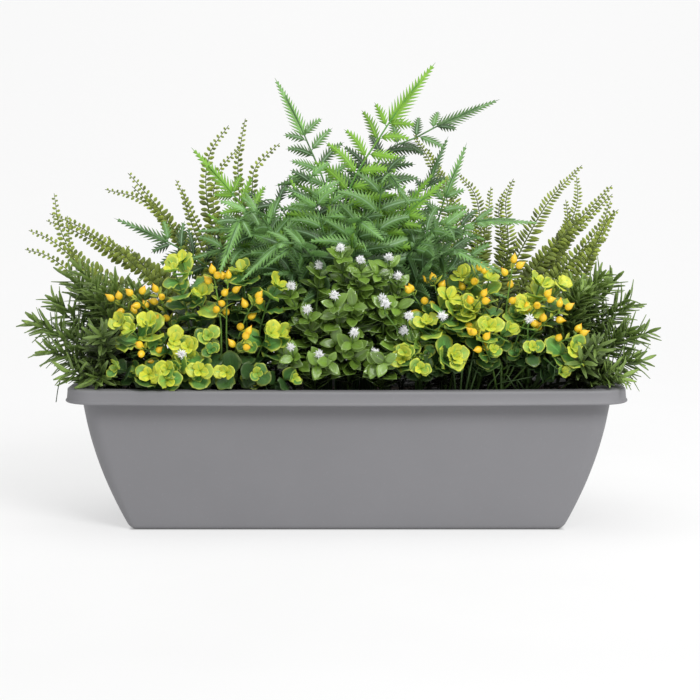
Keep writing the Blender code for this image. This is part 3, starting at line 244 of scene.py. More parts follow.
# Moss: its middle line, where a fibre starts, where it may reach, its lowest height and its steps
MOSS_LINE = -74.0
MOSS_STARTS = (-77.0, -60.0)
MOSS_REACH = (-78.0, -57.0)
MOSS_FLOOR = 134.0
MOSS_STEPS = 4
# Pick stems and shoots: radius at the foot and at the tip
PICK_STEM = (2.3, 1.6)
FRUIT_STEM = (2.3, 1.4)
SHOOT_STEM = (1.5, 0.8)


def length_property(name, description, default, low, high):
    """A length in Blender's own unit, from values in millimetres."""
    return bpy.props.FloatProperty(name=name, description=description, default=default * MM, min=low * MM,
                                   max=high * MM, subtype="DISTANCE", unit="LENGTH")


class PlanterSizes(bpy.types.PropertyGroup):
    """Sizes that a user would change."""

    leaf_thickness: length_property("Leaf thickness", "Thickness of every leaf", 0.45, 0.1, 1.0)
    fern_pairs: bpy.props.IntProperty(
        name="Fern branch pairs", description="Pairs of cut branches on a centre fern frond",
        default=10, min=4, max=16)
    sword_pitch: length_property("Sword fern pitch", "Distance between the leaflets of a sword fern",
                                 6.6, 3.0, 12.0)
    narrow_length: length_property("Narrow leaf length", "Length of a narrow leaf", 29.0, 10.0, 40.0)
    round_length: length_property("Round leaf length", "Length of the largest round leaf", 25.5, 10.0, 40.0)
    box_length: length_property("Box leaf length", "Length of the largest glossy leaf in the middle",
                                25.0, 10.0, 40.0)
    fruit_radius: length_property("Fruit radius", "Radius of a fruit at its widest", 3.95, 2.0, 8.0)
    flower_radius: length_property("Flower radius", "Radius of a white flower head", 5.0, 2.0, 10.0)


def colour_property(name, description, default):
    return bpy.props.FloatVectorProperty(name=name, description=description, size=3, default=default,
                                         min=0.0, max=1.0, subtype="COLOR")


class PlanterColours(bpy.types.PropertyGroup):
    """Colours that a user would change."""

    trough: colour_property("Trough", "Moulded plastic of the trough", (0.222, 0.22, 0.232))
    soil: colour_property("Soil", "Top of the filling", (0.028, 0.019, 0.012))
    moss: colour_property("Moss", "Moss fibres", (0.2, 0.165, 0.04))
    fern_dark: colour_property("Dark fern", "Dark fronds in the centre", (0.084, 0.19, 0.048))
    fern_lime: colour_property("Lime fern", "Lime fronds in the centre", (0.2, 0.42, 0.035))
    sword: colour_property("Sword fern", "Sword fern leaflets", (0.3, 0.41, 0.055))
    narrow: colour_property("Narrow leaf", "Narrow leaves", (0.083, 0.134, 0.03))
    round_leaf: colour_property("Round leaf", "Round leaves", (0.14, 0.375, 0.08))
    round_edge: colour_property("Round leaf edge", "Edges and young round leaves", (0.73, 0.75, 0.06))
    fruit: colour_property("Fruit", "Ripe fruits", (0.97, 0.63, 0.025))
    box_leaf: colour_property("Box leaf", "Glossy leaves in the middle", (0.105, 0.2, 0.028))
    flower: colour_property("Flower", "White flower heads", (0.96, 0.96, 0.97))


def chosen_size(key):
    """A size that the user can change, in millimetres."""
    return getattr(bpy.context.scene.planter_sizes, key) / MM


def chosen_colour(key):
    """A colour that the user can change."""
    return tuple(getattr(bpy.context.scene.planter_colours, key))


# Curves and frames
class Path:
    """A smooth line through the given points, measured along its length."""

    def __init__(self, points, stub=False):
        pts = [Vector(p) for p in points]
        self.line = []
        if stub:
            self.line.append(pts.pop(0))
            before = Vector((pts[1].x, pts[1].y, pts[0].z - 50.0))
        else:
            before = pts[0] * 2 - pts[1]
        pts = [before] + pts + [pts[-1] * 2 - pts[-2]]
        for k in range(1, len(pts) - 2):
            for step in range(12):
                self.line.append(self.blend(pts[k - 1:k + 3], step / 12.0))
        self.line.append(pts[-2])
        self.at = [0.0]
        for a, b in zip(self.line, self.line[1:]):
            self.at.append(self.at[-1] + (b - a).length)
        self.length = self.at[-1]

    @staticmethod
    def blend(p, t):
        """A point between the second and the third of four points."""
        return 0.5 * ((2 * p[1]) + (p[2] - p[0]) * t + (2 * p[0] - 5 * p[1] + 4 * p[2] - p[3]) * t ** 2
                      + (3 * p[1] - p[0] - 3 * p[2] + p[3]) * t ** 3)

    def point(self, distance):
        """The point at a distance along the line."""
        distance = max(0.0, min(self.length, distance))
        for k in range(len(self.at) - 1):
            if self.at[k + 1] >= distance:
                span = self.at[k + 1] - self.at[k]
                share = (distance - self.at[k]) / span if span > 0 else 0.0
                return self.line[k].lerp(self.line[k + 1], share)
        return self.line[-1].copy()

    def along(self, distance):
        """The line's direction at a distance along it."""
        step = 2.0
        return (self.point(distance + step) - self.point(distance - step)).normalized()


def frame_at(path, distance, facing):
    """The line's direction, the direction across it and its upper face at a distance."""
    along = path.along(distance)
    normal = facing - along * facing.dot(along)
    if normal.length < 0.05:
        other = Vector((0.3, -1.0, 0.2))
        normal = other - along * other.dot(along)
    normal.normalize()
    return along, along.cross(normal), normal


def frond_facing(points, turn):
    """Where a frond's upper face looks: up where it arches over, else towards the front."""
    lean = (Vector(points[-1]) - Vector(points[-2])).normalized()
    if lean.z < 0.35:
        return Matrix.Rotation(math.radians(turn), 3, "Y") @ Vector((0.0, -0.4, 1.0))
    return Matrix.Rotation(math.radians(turn), 3, "Z") @ Vector((0.0, -0.85, 0.5))


def frond_path(hole, points):
    """A frond's line: straight up through the filling, then through its points."""
    return Path([(hole[0], hole[1], STUB_BOTTOM), (hole[0], hole[1], FROND_FOOT)] + points, True)


def sprig_path(hole, tip, height):
    """A shoot that leaves the stem sideways at a height and rises to its tip."""
    start = Vector((hole[0], hole[1], height))
    end = Vector(tip)
    reach = end - start
    flat = Vector((reach.x, reach.y, 0.0))
    away = flat.normalized() if flat.length > 1.0 else Vector((0.0, -1.0, 0.0))
    leave = start + away * 7.0 + UP * (6.0 if reach.z > 30.0 else 3.0)
    bend = start + Vector((reach.x * 0.4, reach.y * 0.4, max(9.0, reach.z * 0.52)))
    late = start + Vector((reach.x * 0.75, reach.y * 0.75, max(10.0, reach.z * 0.86)))
    return Path([start, leave, bend, late, end])


def pick_paths(hole, tips):
    """The upright stem of a pick and the shoots on it, lowest tip first."""
    order = sorted(tips, key=lambda tip: tip[2])
    top = SHOOT_FROM + 1.0 + SHOOT_STEP * len(order)
    stem = Path([(hole[0], hole[1], z) for z in (STUB_BOTTOM, PICK_FOOT, top)])
    shoots = [sprig_path(hole, tip, SHOOT_FROM + SHOOT_STEP * k) for k, tip in enumerate(order)]
    return stem, shoots


# Meshes of leaves and stems
def ring_faces(rings, sides):
    """Faces of a closed tube: quads between the rings of points, and a cap on each end."""
    faces = []
    for level in range(rings - 1):
        for k in range(sides):
            a = level * sides + k
            b = level * sides + (k + 1) % sides
            faces.append((a, b, b + sides, a + sides))
    last = (rings - 1) * sides
    faces.append(tuple(range(sides - 1, -1, -1)))
    faces.append(tuple(range(last, last + sides)))
    return faces


def add_object(name, data):
    """A new object in the scene."""
    obj = bpy.data.objects.new(name, data)
    bpy.context.scene.collection.objects.link(obj)
    return obj


def add_mesh(name, verts, faces, smooth, materials):
    """A new mesh object from points in metres; smooth says of each face whether it is shaded smooth."""
    mesh = bpy.data.meshes.new(name)
    mesh.from_pydata(verts, [], faces)
    mesh.polygons.foreach_set("use_smooth", smooth)
    for material in materials:
        mesh.materials.append(material)
    mesh.update()
    return add_object(name, mesh)


class Growth:
    """Gathers leaves and stems of one plant before they become one mesh.

    Each point carries a tint: distance from the midrib (below zero on a leaf's underside), distance
    along the leaf, a random share for the leaf, and a value for how old the leaf is, from young to old,
    with painted shade added on: over 1, it darkens the leaf further with painted shade.
    """

    def __init__(self):
        self.verts = []
        self.faces = []
        self.slots = []
        self.tints = []
        self.count = 0

    def add(self, verts, faces, slot, tints):
        verts = np.asarray(verts, float)
        self.verts.append(verts)
        self.faces += [tuple(index + self.count for index in face) for face in faces]
        self.slots += [slot] * len(faces)
        self.tints.append(np.broadcast_to(np.asarray(tints, float), (len(verts), 4)))
        self.count += len(verts)

    def leaf(self, shape, root, aim, face, length, width, bend=0.3, fold=0.2, wave=0.0, sway=0.0,
             share=0.5, age=0.5, slot=LEAF):
        """Bends a flat leaf shape into place, with its root at a point and its upper face along face.

        bend curves it away from its upper face and sway curves it within its own plane, both in radians.
        fold raises its sides, and wave makes its edge uneven.
        """
        aim = aim.normalized()
        face = (face - aim * face.dot(aim)).normalized()
        side = aim.cross(face)
        s, t, half = shape.s, shape.t, shape.half
        angle = bend * s + 1e-6
        curved = np.abs(angle) > 1e-5
        reach = np.where(curved, np.sin(angle) / angle, 1.0) * s * length
        drop = np.where(curved, (1 - np.cos(angle)) / angle, 0.0) * s * length
        across = t * half * width * 0.5
        if sway:
            swing = sway * s + 1e-6
            shift = (1 - np.cos(swing)) / swing * s * length + across * np.cos(swing)
            reach = reach * np.sin(swing) / swing - across * np.sin(swing)
        else:
            shift = across
        ripple = wave * width * np.sin(s * 17.0 + share * 9.0) * np.abs(t) * half
        lift = fold * np.abs(across) - drop + ripple
        verts = (np.array(root) + np.outer(reach, np.array(aim)) + np.outer(shift, np.array(side))
                 + np.outer(lift, np.array(face)))
        tints = np.stack([shape.edge, s, np.full_like(s, share), np.full_like(s, age)], axis=1)
        verts, faces, index = thicken(verts, shape, chosen_size("leaf_thickness"))
        tints = tints[index]
        tints[len(s):, 0] = -0.01 - tints[len(s):, 0]
        self.add(verts, faces, slot, tints)

    def tube(self, points, radii, slot, sides=6, tint=(0.0, 0.5, 0.5, 0.5)):
        """A tapered stem with closed ends."""
        points = [Vector(p) for p in points]
        verts = []
        across = None
        for k, point in enumerate(points):
            ahead = points[min(k + 1, len(points) - 1)] - points[max(k - 1, 0)]
            along = ahead.normalized() if ahead.length > 1e-9 else UP
            if across is None:
                across = along.orthogonal()
            across = (across - along * across.dot(along)).normalized()
            other = along.cross(across)
            for j in range(sides):
                angle = 2 * math.pi * j / sides
                verts.append(point + (across * math.cos(angle) + other * math.sin(angle)) * radii[k])
        self.add(verts, ring_faces(len(points), sides), slot, tint)

    def stem(self, path, low, high, sides=6, spacing=9.0, beyond=0.0, slot=STEM):
        """A tube along a path whose radius goes from low to high; beyond makes it longer."""
        end = path.length + beyond
        count = max(2, int(end / spacing) + 1)
        spots = [end * k / (count - 1) for k in range(count)]
        radii = [low + (high - low) * k / (count - 1) for k in range(count)]
        self.tube([path.point(spot) for spot in spots], radii, slot, sides)

    def piece(self, name, materials, slot, *nodes, smooth=True):
        """Makes one piece of all that was gathered, in the place of its nodes."""
        verts = np.concatenate(self.verts) * MM
        obj = add_mesh(name, verts.tolist(), self.faces, [smooth] * len(self.faces), materials)
        obj.data.polygons.foreach_set("material_index", self.slots)
        layer = obj.data.color_attributes.new(name="tint", type="FLOAT_COLOR", domain="POINT")
        layer.data.foreach_set("color", np.concatenate(self.tints).ravel())
        obj.data.update()
        dress(obj, slot, *nodes)


def sides_of(face):
    """The pairs of neighbouring corners round a face."""
    return zip(face, face[1:] + face[:1])


class Shape:
    """A flat leaf of length 1: points along and across it, and its faces."""

    def __init__(self, s, t, half, faces, edge=None):
        self.s = np.array(s, float)
        self.t = np.array(t, float)
        self.half = np.array(half, float)
        self.edge = np.abs(self.t) if edge is None else np.array(edge, float)
        self.faces = []
        across = self.t * self.half
        for face in faces:
            turn = 0.0
            for a, b in sides_of(face):
                turn += self.s[a] * across[b] - self.s[b] * across[a]
            self.faces.append(face if turn < 0 else face[::-1])
        edges = dict.fromkeys(pair for face in self.faces for pair in sides_of(face))
        rim = [(a, b) for a, b in edges if (b, a) not in edges]
        count = len(self.s)
        self.index = np.concatenate([np.arange(count), np.arange(count)])
        self.closed = list(self.faces)
        self.closed += [tuple(index + count for index in reversed(face)) for face in self.faces]
        self.closed += [(b, a, a + count, b + count) for a, b in rim]


def thicken(verts, shape, thick):
    """Gives a leaf surface its thickness: an upper and a lower face joined round the rim."""
    normals = np.zeros_like(verts)
    for size in (3, 4):
        group = np.array([face for face in shape.faces if len(face) == size])
        if not len(group):
            continue
        p = verts[group]
        normal = np.cross(p[:, 2] - p[:, 0], p[:, size - 1] - p[:, 1])
        for corner in range(size):
            np.add.at(normals, group[:, corner], normal)
    normals /= np.maximum(np.linalg.norm(normals, axis=1, keepdims=True), 1e-12)
    half = normals * (0.5 * thick)
    return np.concatenate([verts + half, verts - half]), shape.closed, shape.index


def blade(rows, columns, width_at, power=1.0, rim=False):
    """A plain leaf; width_at gives its half width along it as a share of the widest.

    With rim, its front end counts as edge too, not only its sides.
    """
    s, t, half, faces = [], [], [], []
    for row in range(rows + 1):
        share = (row / rows) ** power
        for column in range(columns + 1):
            s.append(share)
            t.append(2.0 * column / columns - 1.0)
            half.append(width_at(share))
    wide = columns + 1
    for row in range(rows):
        for column in range(columns):
            a = row * wide + column
            faces.append((a, a + 1, a + 1 + wide, a + wide))
    edge = [max(abs(t[k]), (s[k] - 0.7) / 0.3) for k in range(len(s))] if rim else None
    return Shape(s, t, half, faces, edge)


def comb(lobes, ratio, lean=0.7, web=0.2, widest=0.3, low=0.75):
    """A fern branch cut into pointed lobes on both sides of its midrib.

    ratio is half the width over the length; the lobes lean forward by lean for each unit across.
    """
    step = 0.96 / (lobes + 0.7)
    s, t, edge, faces = [], [], [], []

    def reach_at(share):
        if share < widest:
            return low + (1.0 - low) * math.sin(0.5 * math.pi * share / widest)
        return max(0.1, 1.0 - 0.9 * ((share - widest) / (1.0 - widest)) ** 1.2)

    def point(along, across, depth):
        s.append(along)
        t.append(across)
        edge.append(depth)
        return len(s) - 1

    rib = [point(0.01 + k * step, 0.0, 0.0) for k in range(lobes + 1)]
    tip = point(1.0, 0.0, 0.4)
    for side in (-1.0, 1.0):
        base = [point(0.01 + k * step, side * web * reach_at(k * step), 0.3) for k in range(lobes + 1)]
        for k in range(lobes):
            middle = 0.01 + (k + 0.5) * step
            length = reach_at(middle)
            shift = lean * ratio * length
            end = point(middle + shift + 0.12 * step, side * length, 1.0)
            faces.append((rib[k], rib[k + 1], base[k + 1], base[k]))
            faces.append((base[k], base[k + 1], end))
        faces.append((rib[-1], tip, base[-1]))
    return Shape(s, t, np.ones(len(s)), faces, edge)


def oval(share, front=0.5, blunt=0.12):
    """Half width of an oval leaf that is widest at front."""
    if share < front:
        return max(blunt * 0.6, math.sin(0.5 * math.pi * share / front) ** 0.8)
    return max(blunt, math.cos(0.5 * math.pi * (share - front) / (1.0 - front)) ** 0.6)


def pointed(share, front=0.42):
    """Half width of a leaf that narrows to a point."""
    if share < front:
        return 0.1 + 0.9 * math.sin(0.5 * math.pi * share / front)
    return 0.03 + 0.97 * math.cos(0.5 * math.pi * (share - front) / (1.0 - front)) ** 0.9


def slender(share):
    """Half width of a long leaf with nearly even sides."""
    return oval(share, 0.5, 0.25) ** 0.8


def uneven(share):
    """Half width of a round leaf with a slightly uneven edge."""
    return oval(share, 0.56, 0.16) * (1.0 + 0.05 * math.sin(21.0 * share))


SHAPES = {
    "sword": blade(4, 2, lambda share: oval(share, 0.45, 0.3)),
    "slim": blade(3, 2, lambda share: oval(share, 0.4, 0.3)),
    "narrow": blade(3, 2, slender),
    "backing": blade(2, 2, slender),
    "round": blade(6, 6, uneven, 0.85, True),
    "box": blade(7, 4, lambda share: oval(share, 0.5, 0.04) ** (1.0 if share < 0.5 else 1.35), 0.9, True),
    "bract": blade(4, 2, lambda share: pointed(share, 0.55)),
    "petal": blade(2, 1, lambda share: pointed(share, 0.6)),
}
# Distance between the teeth of a fern branch and of the spear at a frond's tip
LOBE_PITCH = 4.9
SPEAR_PITCH = 5.6
MOST_LOBES = 26


def branch_width(length):
    """Width of a fern branch of a given length."""
    return 9.6 + 0.16 * length


COMBS = {}
SPEARS = {}
for lobe_count in range(3, MOST_LOBES + 1):
    branch = lobe_count * LOBE_PITCH
    COMBS[lobe_count] = comb(lobe_count, 0.5 * branch_width(branch) / branch)
    SPEARS[lobe_count] = comb(lobe_count, 0.125, 1.0, 0.2, 0.08, 0.9)


# Materials
def start_material(name, roughness, specular=0.5):
    """A new material and its shader."""
    material = bpy.data.materials.new(name)
    material.use_nodes = True
    shader = material.node_tree.nodes["Principled BSDF"]
    shader.inputs["Roughness"].default_value = roughness
    shader.inputs["Specular IOR Level"].default_value = specular
    return material, shader


def node(material, kind, **values):
    """A new shader node with its own settings or input values."""
    made = material.node_tree.nodes.new(kind)
    for key, value in values.items():
        if hasattr(made, key):
            setattr(made, key, value)
        else:
            made.inputs[key.replace("_", " ")].default_value = value
    return made


def wire(material, source, target):
    material.node_tree.links.new(source, target)


def object_axes(material):
    """The object's own x, y and z, in metres."""
    place = node(material, "ShaderNodeTexCoord")
    split = node(material, "ShaderNodeSeparateXYZ")
    wire(material, place.outputs["Object"], split.inputs[0])
    return split.outputs


def noise(material, scale, detail=3.0, roughness=0.55):
    """Noise in the object's own space."""
    place = node(material, "ShaderNodeTexCoord")
    made = node(material, "ShaderNodeTexNoise", Scale=scale, Detail=detail, Roughness=roughness)
    wire(material, place.outputs["Object"], made.inputs["Vector"])
    return made.outputs["Fac"]


def spread(material, source, low, high, to_low=0.0, to_high=1.0):
    """Maps a value from one range to another and keeps it there."""
    made = node(material, "ShaderNodeMapRange", From_Min=low, From_Max=high, To_Min=to_low, To_Max=to_high)
    wire(material, source, made.inputs["Value"])
    return made.outputs["Result"]


def sums(material, operation, first, second=0.0):
    """One step of arithmetic on two values, each a number or a socket."""
    made = node(material, "ShaderNodeMath", operation=operation)
    for number, value in enumerate((first, second)):
        if isinstance(value, float):
            made.inputs[number].default_value = value
        else:
            wire(material, value, made.inputs[number])
    return made.outputs[0]


def blend_colours(material, share, first, second):
    """From the first colour to the second by a share; each is a colour or a socket."""
    made = node(material, "ShaderNodeMix", data_type="RGBA")
    wire(material, share, made.inputs["Factor"])
    for socket, value in ((made.inputs[6], first), (made.inputs[7], second)):
        if isinstance(value, (tuple, list)):
            socket.default_value = tuple(value[:3]) + (1.0,)
        else:
            wire(material, value, socket)
    return made.outputs[2]


def bump(material, shader, height, strength, distance):
    """Fine relief on a material, from a height."""
    made = node(material, "ShaderNodeBump")
    made.inputs["Strength"].default_value = strength
    made.inputs["Distance"].default_value = distance
    wire(material, height, made.inputs["Height"])
    wire(material, made.outputs["Normal"], shader.inputs["Normal"])


def shade(colour, factor, warm=0.0):
    """A lighter or darker colour, and a warmer one where warm is over zero."""
    return (min(1.0, colour[0] * factor * (1.0 + warm)), min(1.0, colour[1] * factor),
            min(1.0, colour[2] * factor * (1.0 - warm)))


def tint_parts(material):
    """Distance from the midrib, distance along, random share, and oldness with painted shade added, from the
    leaf's own points.
    """
    layer = node(material, "ShaderNodeVertexColor", layer_name="tint")
    split = node(material, "ShaderNodeSeparateColor")
    wire(material, layer.outputs["Color"], split.inputs["Color"])
    return split.outputs[0], split.outputs[1], split.outputs[2], layer.outputs["Alpha"]


def leaf_material(name, young, old, edge, rib, under, edge_from, roughness, veins, specular=0.5,
                  rib_to=0.16, tips=0.4):
    """A leaf: colour by oldness and chance, painted shade where that value passes 1, another edge, midrib and
    underside, and side veins.

    edge_from and rib_to are distances from the midrib, veins is the number of veins along the leaf and
    tips is how far its end takes the young colour.
    """
    material, shader = start_material(name, roughness, specular)
    signed, along, chance, age = tint_parts(material)
    across = sums(material, "ABSOLUTE", signed)
    luck = sums(material, "MULTIPLY", sums(material, "SUBTRACT", chance, 0.5), 0.6)
    mix = sums(material, "ADD", age, luck)
    cloud = spread(material, noise(material, 130.0), 0.3, 0.7, 0.0, 0.4)
    # Painted shade: past 1, the leaf goes towards this near-black copy of its old colour.
    deep_shade = tuple(0.2 * value + 0.005 for value in old)
    colour = blend_colours(material, spread(material, mix, 0.0, 1.0), young, old)
    for share, other in ((spread(material, along, 0.45, 1.0, 0.0, tips), young),
                         (cloud, shade(old, 0.6)),
                         (spread(material, across, edge_from, 1.0, 0.0, 0.85), edge),
                         (spread(material, across, 0.25 * rib_to, rib_to, 0.7, 0.0), rib),
                         (spread(material, signed, -0.005, 0.0, 0.65, 0.0), under),
                         (spread(material, mix, 1.0, 2.0, 0.0, 0.95), deep_shade)):
        colour = blend_colours(material, share, colour, other)
    wire(material, colour, shader.inputs["Base Color"])
    slant = sums(material, "SUBTRACT", sums(material, "MULTIPLY", along, veins),
                 sums(material, "MULTIPLY", across, 4.0))
    ripple = sums(material, "SINE", sums(material, "MULTIPLY", slant, FULL_TURN))
    height = sums(material, "ADD", sums(material, "MULTIPLY", ripple, 0.35), noise(material, 900.0, 2.0))
    height = sums(material, "SUBTRACT", height, spread(material, across, 0.03, 0.2, 0.9, 0.0))
    bump(material, shader, height, 0.45, 0.00045)
    return material


def stem_material(name, light, dark):
    """A stem in two greens, darker where it stands in the shade near the soil."""
    material, shader = start_material(name, 0.5)
    patches = spread(material, noise(material, 90.0), 0.35, 0.65)
    low = spread(material, object_axes(material)[2], 0.16, 0.205, 0.8, 0.0)
    colour = blend_colours(material, patches, light, dark)
    colour = blend_colours(material, low, colour, shade(dark, 0.3))
    wire(material, colour, shader.inputs["Base Color"])
    bump(material, shader, noise(material, 700.0, 3.0), 0.3, 0.0004)
    return material


def trough_material(colour):
    """Matte moulded plastic with a fine grain and a little dust."""
    material, shader = start_material("trough_plastic", 0.55, 0.4)
    broad = spread(material, noise(material, 6.0, 4.0), 0.3, 0.7)
    base = blend_colours(material, broad, shade(colour, 0.97), shade(colour, 1.04))
    speck = spread(material, noise(material, 420.0, 2.0), 0.62, 0.75)
    base = blend_colours(material, sums(material, "MULTIPLY", speck, 0.25), base, shade(colour, 1.25))
    wire(material, base, shader.inputs["Base Color"])
    wire(material, spread(material, noise(material, 30.0), 0.3, 0.7, 0.5, 0.62), shader.inputs["Roughness"])
    bump(material, shader, noise(material, 1500.0, 3.0), 0.18, 0.0002)
    return material


def soil_material(colour):
    """Dry crumbled soil."""
    material, shader = start_material("soil_top", 0.95, 0.2)
    patches = spread(material, noise(material, 140.0, 6.0, 0.7), 0.35, 0.68)
    base = blend_colours(material, patches, shade(colour, 0.5), shade(colour, 2.1))
    wire(material, base, shader.inputs["Base Color"])
    bump(material, shader, noise(material, 260.0, 8.0, 0.75), 1.0, 0.003)
    return material


def fruit_material(colour):
    """Yellow at the stalk, a warmer pointed end, and lighter patches of painted highlight."""
    material, shader = start_material("fruit_skin", 0.34, 0.5)
    _, along, chance, _ = tint_parts(material)
    # Painted highlight: a light yellow laid on in noise patches.
    highlight_patches = spread(material, noise(material, 260.0), 0.5, 0.72, 0.0, 0.6)
    base = blend_colours(material, spread(material, along, 0.35, 1.0), colour, shade(colour, 0.9, 0.05))
    for share, other in ((spread(material, along, 0.72, 1.0, 0.0, 0.8), (0.85, 0.34, 0.012)),
                         (highlight_patches, (0.98, 0.7, 0.09)),
                         (spread(material, chance, 0.75, 1.0, 0.0, 0.35), shade(colour, 0.8, 0.1))):
        base = blend_colours(material, share, base, other)
    wire(material, base, shader.inputs["Base Color"])
    bump(material, shader, noise(material, 500.0, 3.0), 0.2, 0.0004)
    return material


def fibre_material(name, first, second):
    """Dry fibres in two colours, with dark spots."""
    material, shader = start_material(name, 0.9, 0.25)
    chance = tint_parts(material)[2]
    base = blend_colours(material, spread(material, chance, 0.2, 0.9), first, second)
    spots = spread(material, noise(material, 300.0), 0.4, 0.7, 0.0, 0.5)
    base = blend_colours(material, spots, base, shade(first, 0.4))
    wire(material, base, shader.inputs["Base Color"])
    bump(material, shader, noise(material, 900.0), 0.3, 0.0004)
    return material


def flower_material(colour):
    """White petals, greenish at their foot."""
    material, shader = start_material("flower_white", 0.6, 0.4)
    along = tint_parts(material)[1]
    base = blend_colours(material, spread(material, along, 0.05, 0.55), (0.74, 0.79, 0.68), colour)
    spots = spread(material, noise(material, 500.0), 0.5, 0.8, 0.0, 0.25)
    base = blend_colours(material, spots, base, shade(colour, 0.88))
    wire(material, base, shader.inputs["Base Color"])
    bump(material, shader, noise(material, 900.0), 0.2, 0.0003)
    return material


def dress(obj, slot, *nodes):
    """Puts a finished piece on the body and in the place of its nodes."""
    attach(obj, "root")
    if nodes:
        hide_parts(*nodes)


# Trough
def outline(half_x, half_y, corner, bow, z):
    """A closed plan outline: rounded corners, straight ends and gently bowed long sides."""
    points = []
    for sx, sy, start in ((1, -1, -90), (1, 1, 0), (-1, 1, 90), (-1, -1, 180)):
        cx = sx * (half_x - corner)
        cy = sy * (half_y - corner)
        for step in range(CORNER_STEPS + 1):
            angle = math.radians(start + 90.0 * step / CORNER_STEPS)
            points.append([cx + corner * math.cos(angle), cy + corner * math.sin(angle), z])
        if sx == sy:
            for step in range(1, SIDE_STEPS):
                share = sy * (half_x - corner) * (1 - 2.0 * step / SIDE_STEPS)
                points.append([share, sy * half_y, z])
    for point in points:
        reach = min(1.0, abs(point[0]) / half_x)
        side = math.copysign(1.0, point[1])
        point[1] += side * bow * (1 - reach ** 2) * min(1.0, abs(point[1]) / (half_y * 0.6))
    return points


def inset_at(z):
    """How far the sides have curved in at a height, from 0 under the rim to 1 at the base."""
    drop = (TROUGH_HEIGHT - RIM_HEIGHT - z) / (TROUGH_HEIGHT - RIM_HEIGHT)
    return WALL_SLOPE * drop + (1.0 - WALL_SLOPE) * drop ** 2


def body_outline(z, inward=0.0):
    """Plan outline of the sides at a height."""
    share = inset_at(z)
    half_x = RIM_LENGTH / 2 - RIM_OVERHANG - BASE_INSET_X * share - inward
    half_y = RIM_DEPTH / 2 - RIM_OVERHANG - BASE_INSET_Y * share - inward
    corner = max(3.0, BODY_CORNER + (BASE_CORNER - BODY_CORNER) * share - inward)
    return outline(half_x, half_y, corner, RIM_BOW * (1 - share), z)


def rim_outline(outward, z):
    """Plan outline of the rim; outward is its distance from the sides."""
    half_x = RIM_LENGTH / 2 - RIM_OVERHANG + outward
    half_y = RIM_DEPTH / 2 - RIM_OVERHANG + outward
    return outline(half_x, half_y, max(6.0, RIM_CORNER - RIM_OVERHANG + outward), RIM_BOW, z)


def trough_rings():
    """Plan outlines of the trough, up the outside, over the rim and down the inside."""
    top = TROUGH_HEIGHT
    under = top - 3.0
    band = top - RIM_HEIGHT
    rings = [body_outline(z, FOOT_RADIUS + FOOT_WIDTH) for z in (0.0, FOOT_RECESS)]
    for step in range(1, FOOT_STEPS + 1):
        angle = 0.5 * math.pi * step / FOOT_STEPS
        z = max(FOOT_RECESS, FOOT_RADIUS * (1 - math.cos(angle)))
        rings.append(body_outline(z, FOOT_RADIUS * (1 - math.sin(angle))))
    for step in range(1, SIDE_LEVELS + 1):
        rings.append(body_outline(FOOT_RADIUS + (SIDE_TOP - FOOT_RADIUS) * step / SIDE_LEVELS))
    rings.append(body_outline(UNDER_RIM))
    edge = RIM_OVERHANG
    for outward, z in ((0.4, under - 1.0), (1.6, under), (edge - 5.6, under), (edge - 4.4, under - 1.2),
                       (edge - 3.0, band + 0.7), (edge - 2.1, band), (edge - 0.7, band), (edge, band + 0.7),
                       (edge - 0.1, band + 2.0), (edge - 0.9, band + 2.9), (edge - 1.4, band + 3.6),
                       (edge - 2.1, top - 3.8), (edge - 2.1, top - 2.2), (edge - 2.7, top - 0.9),
                       (edge - 3.8, top - 0.1), (edge - 4.8, top), (1.2, top), (-0.8, top - 0.5),
                       (-2.2, top - 1.8), (-WALL, top - 3.8)):
        rings.append(rim_outline(outward, z))
    for z in INSIDE_HEIGHTS:
        rings.append(body_outline(z, WALL))
    rings.append(body_outline(WALL + 2.0, WALL + 1.4))
    rings.append(body_outline(WALL, WALL + 4.0))
    return rings


def build_trough():
    """The trough as one closed shell."""
    rings = trough_rings()
    verts = [tuple(value * MM for value in point) for ring in rings for point in ring]
    faces = ring_faces(len(rings), len(rings[0]))
    smooth = [len(face) == 4 for face in faces]
    shell = add_mesh("trough_shell", verts, faces, smooth, [trough_material(chosen_colour("trough"))])
    dress(shell, "trough_grey", "trough")


def off_the_trough(root, aim, length, lowest=0.0):
    """Lifts a leaf that would dip into the trough's wall or rim, or below the lowest height."""
    tip = root + aim * length
    outside = abs(tip.x) > CLEAR_OUTSIDE[0] or abs(tip.y) > CLEAR_OUTSIDE[1]
    inside = abs(tip.x) < CLEAR_INSIDE[0] and abs(tip.y) < CLEAR_INSIDE[1]
    floor = max(lowest, CLEAR_SOIL if inside else TROUGH_HEIGHT + 2.0)
    if tip.z > floor or (outside and not lowest):
        return aim
    return (aim + UP * ((floor - tip.z) / length + 0.12)).normalized()


def more_tips(hole, tips, share, scatter, rng):
    """Tips of further shoots between a pick's stem and its outer shoots."""
    made = []
    for tip in tips:
        pull = rng.uniform(*share)
        x = hole[0] + (tip[0] - hole[0]) * pull + rng.uniform(-scatter, scatter)
        y = hole[1] + (tip[1] - hole[1]) * pull + rng.uniform(-scatter, scatter) * 0.7
        z = SHOOT_FROM + (tip[2] - SHOOT_FROM) * min(1.0, pull + 0.08) + rng.uniform(-0.5, 0.5) * scatter
        made.append((max(TIPS_LEFT, min(TIPS_RIGHT, x)), max(-TIPS_DEPTH, min(TIPS_DEPTH, y)),
                     max(TIPS_LOWEST, z)))
    return made


def more_shoots(hole, tips, share, scatter, rng, lowest=0.0, every=1):
    """Further shoots of a pick, one by one, none with its tip below the lowest height."""
    for tip in more_tips(hole, tips, share, scatter, rng)[::every]:
        end = (tip[0], tip[1], max(tip[2], lowest))
        yield sprig_path(hole, end, rng.uniform(SHOOT_FROM, SHOOT_FROM + SHOOT_SPREAD))


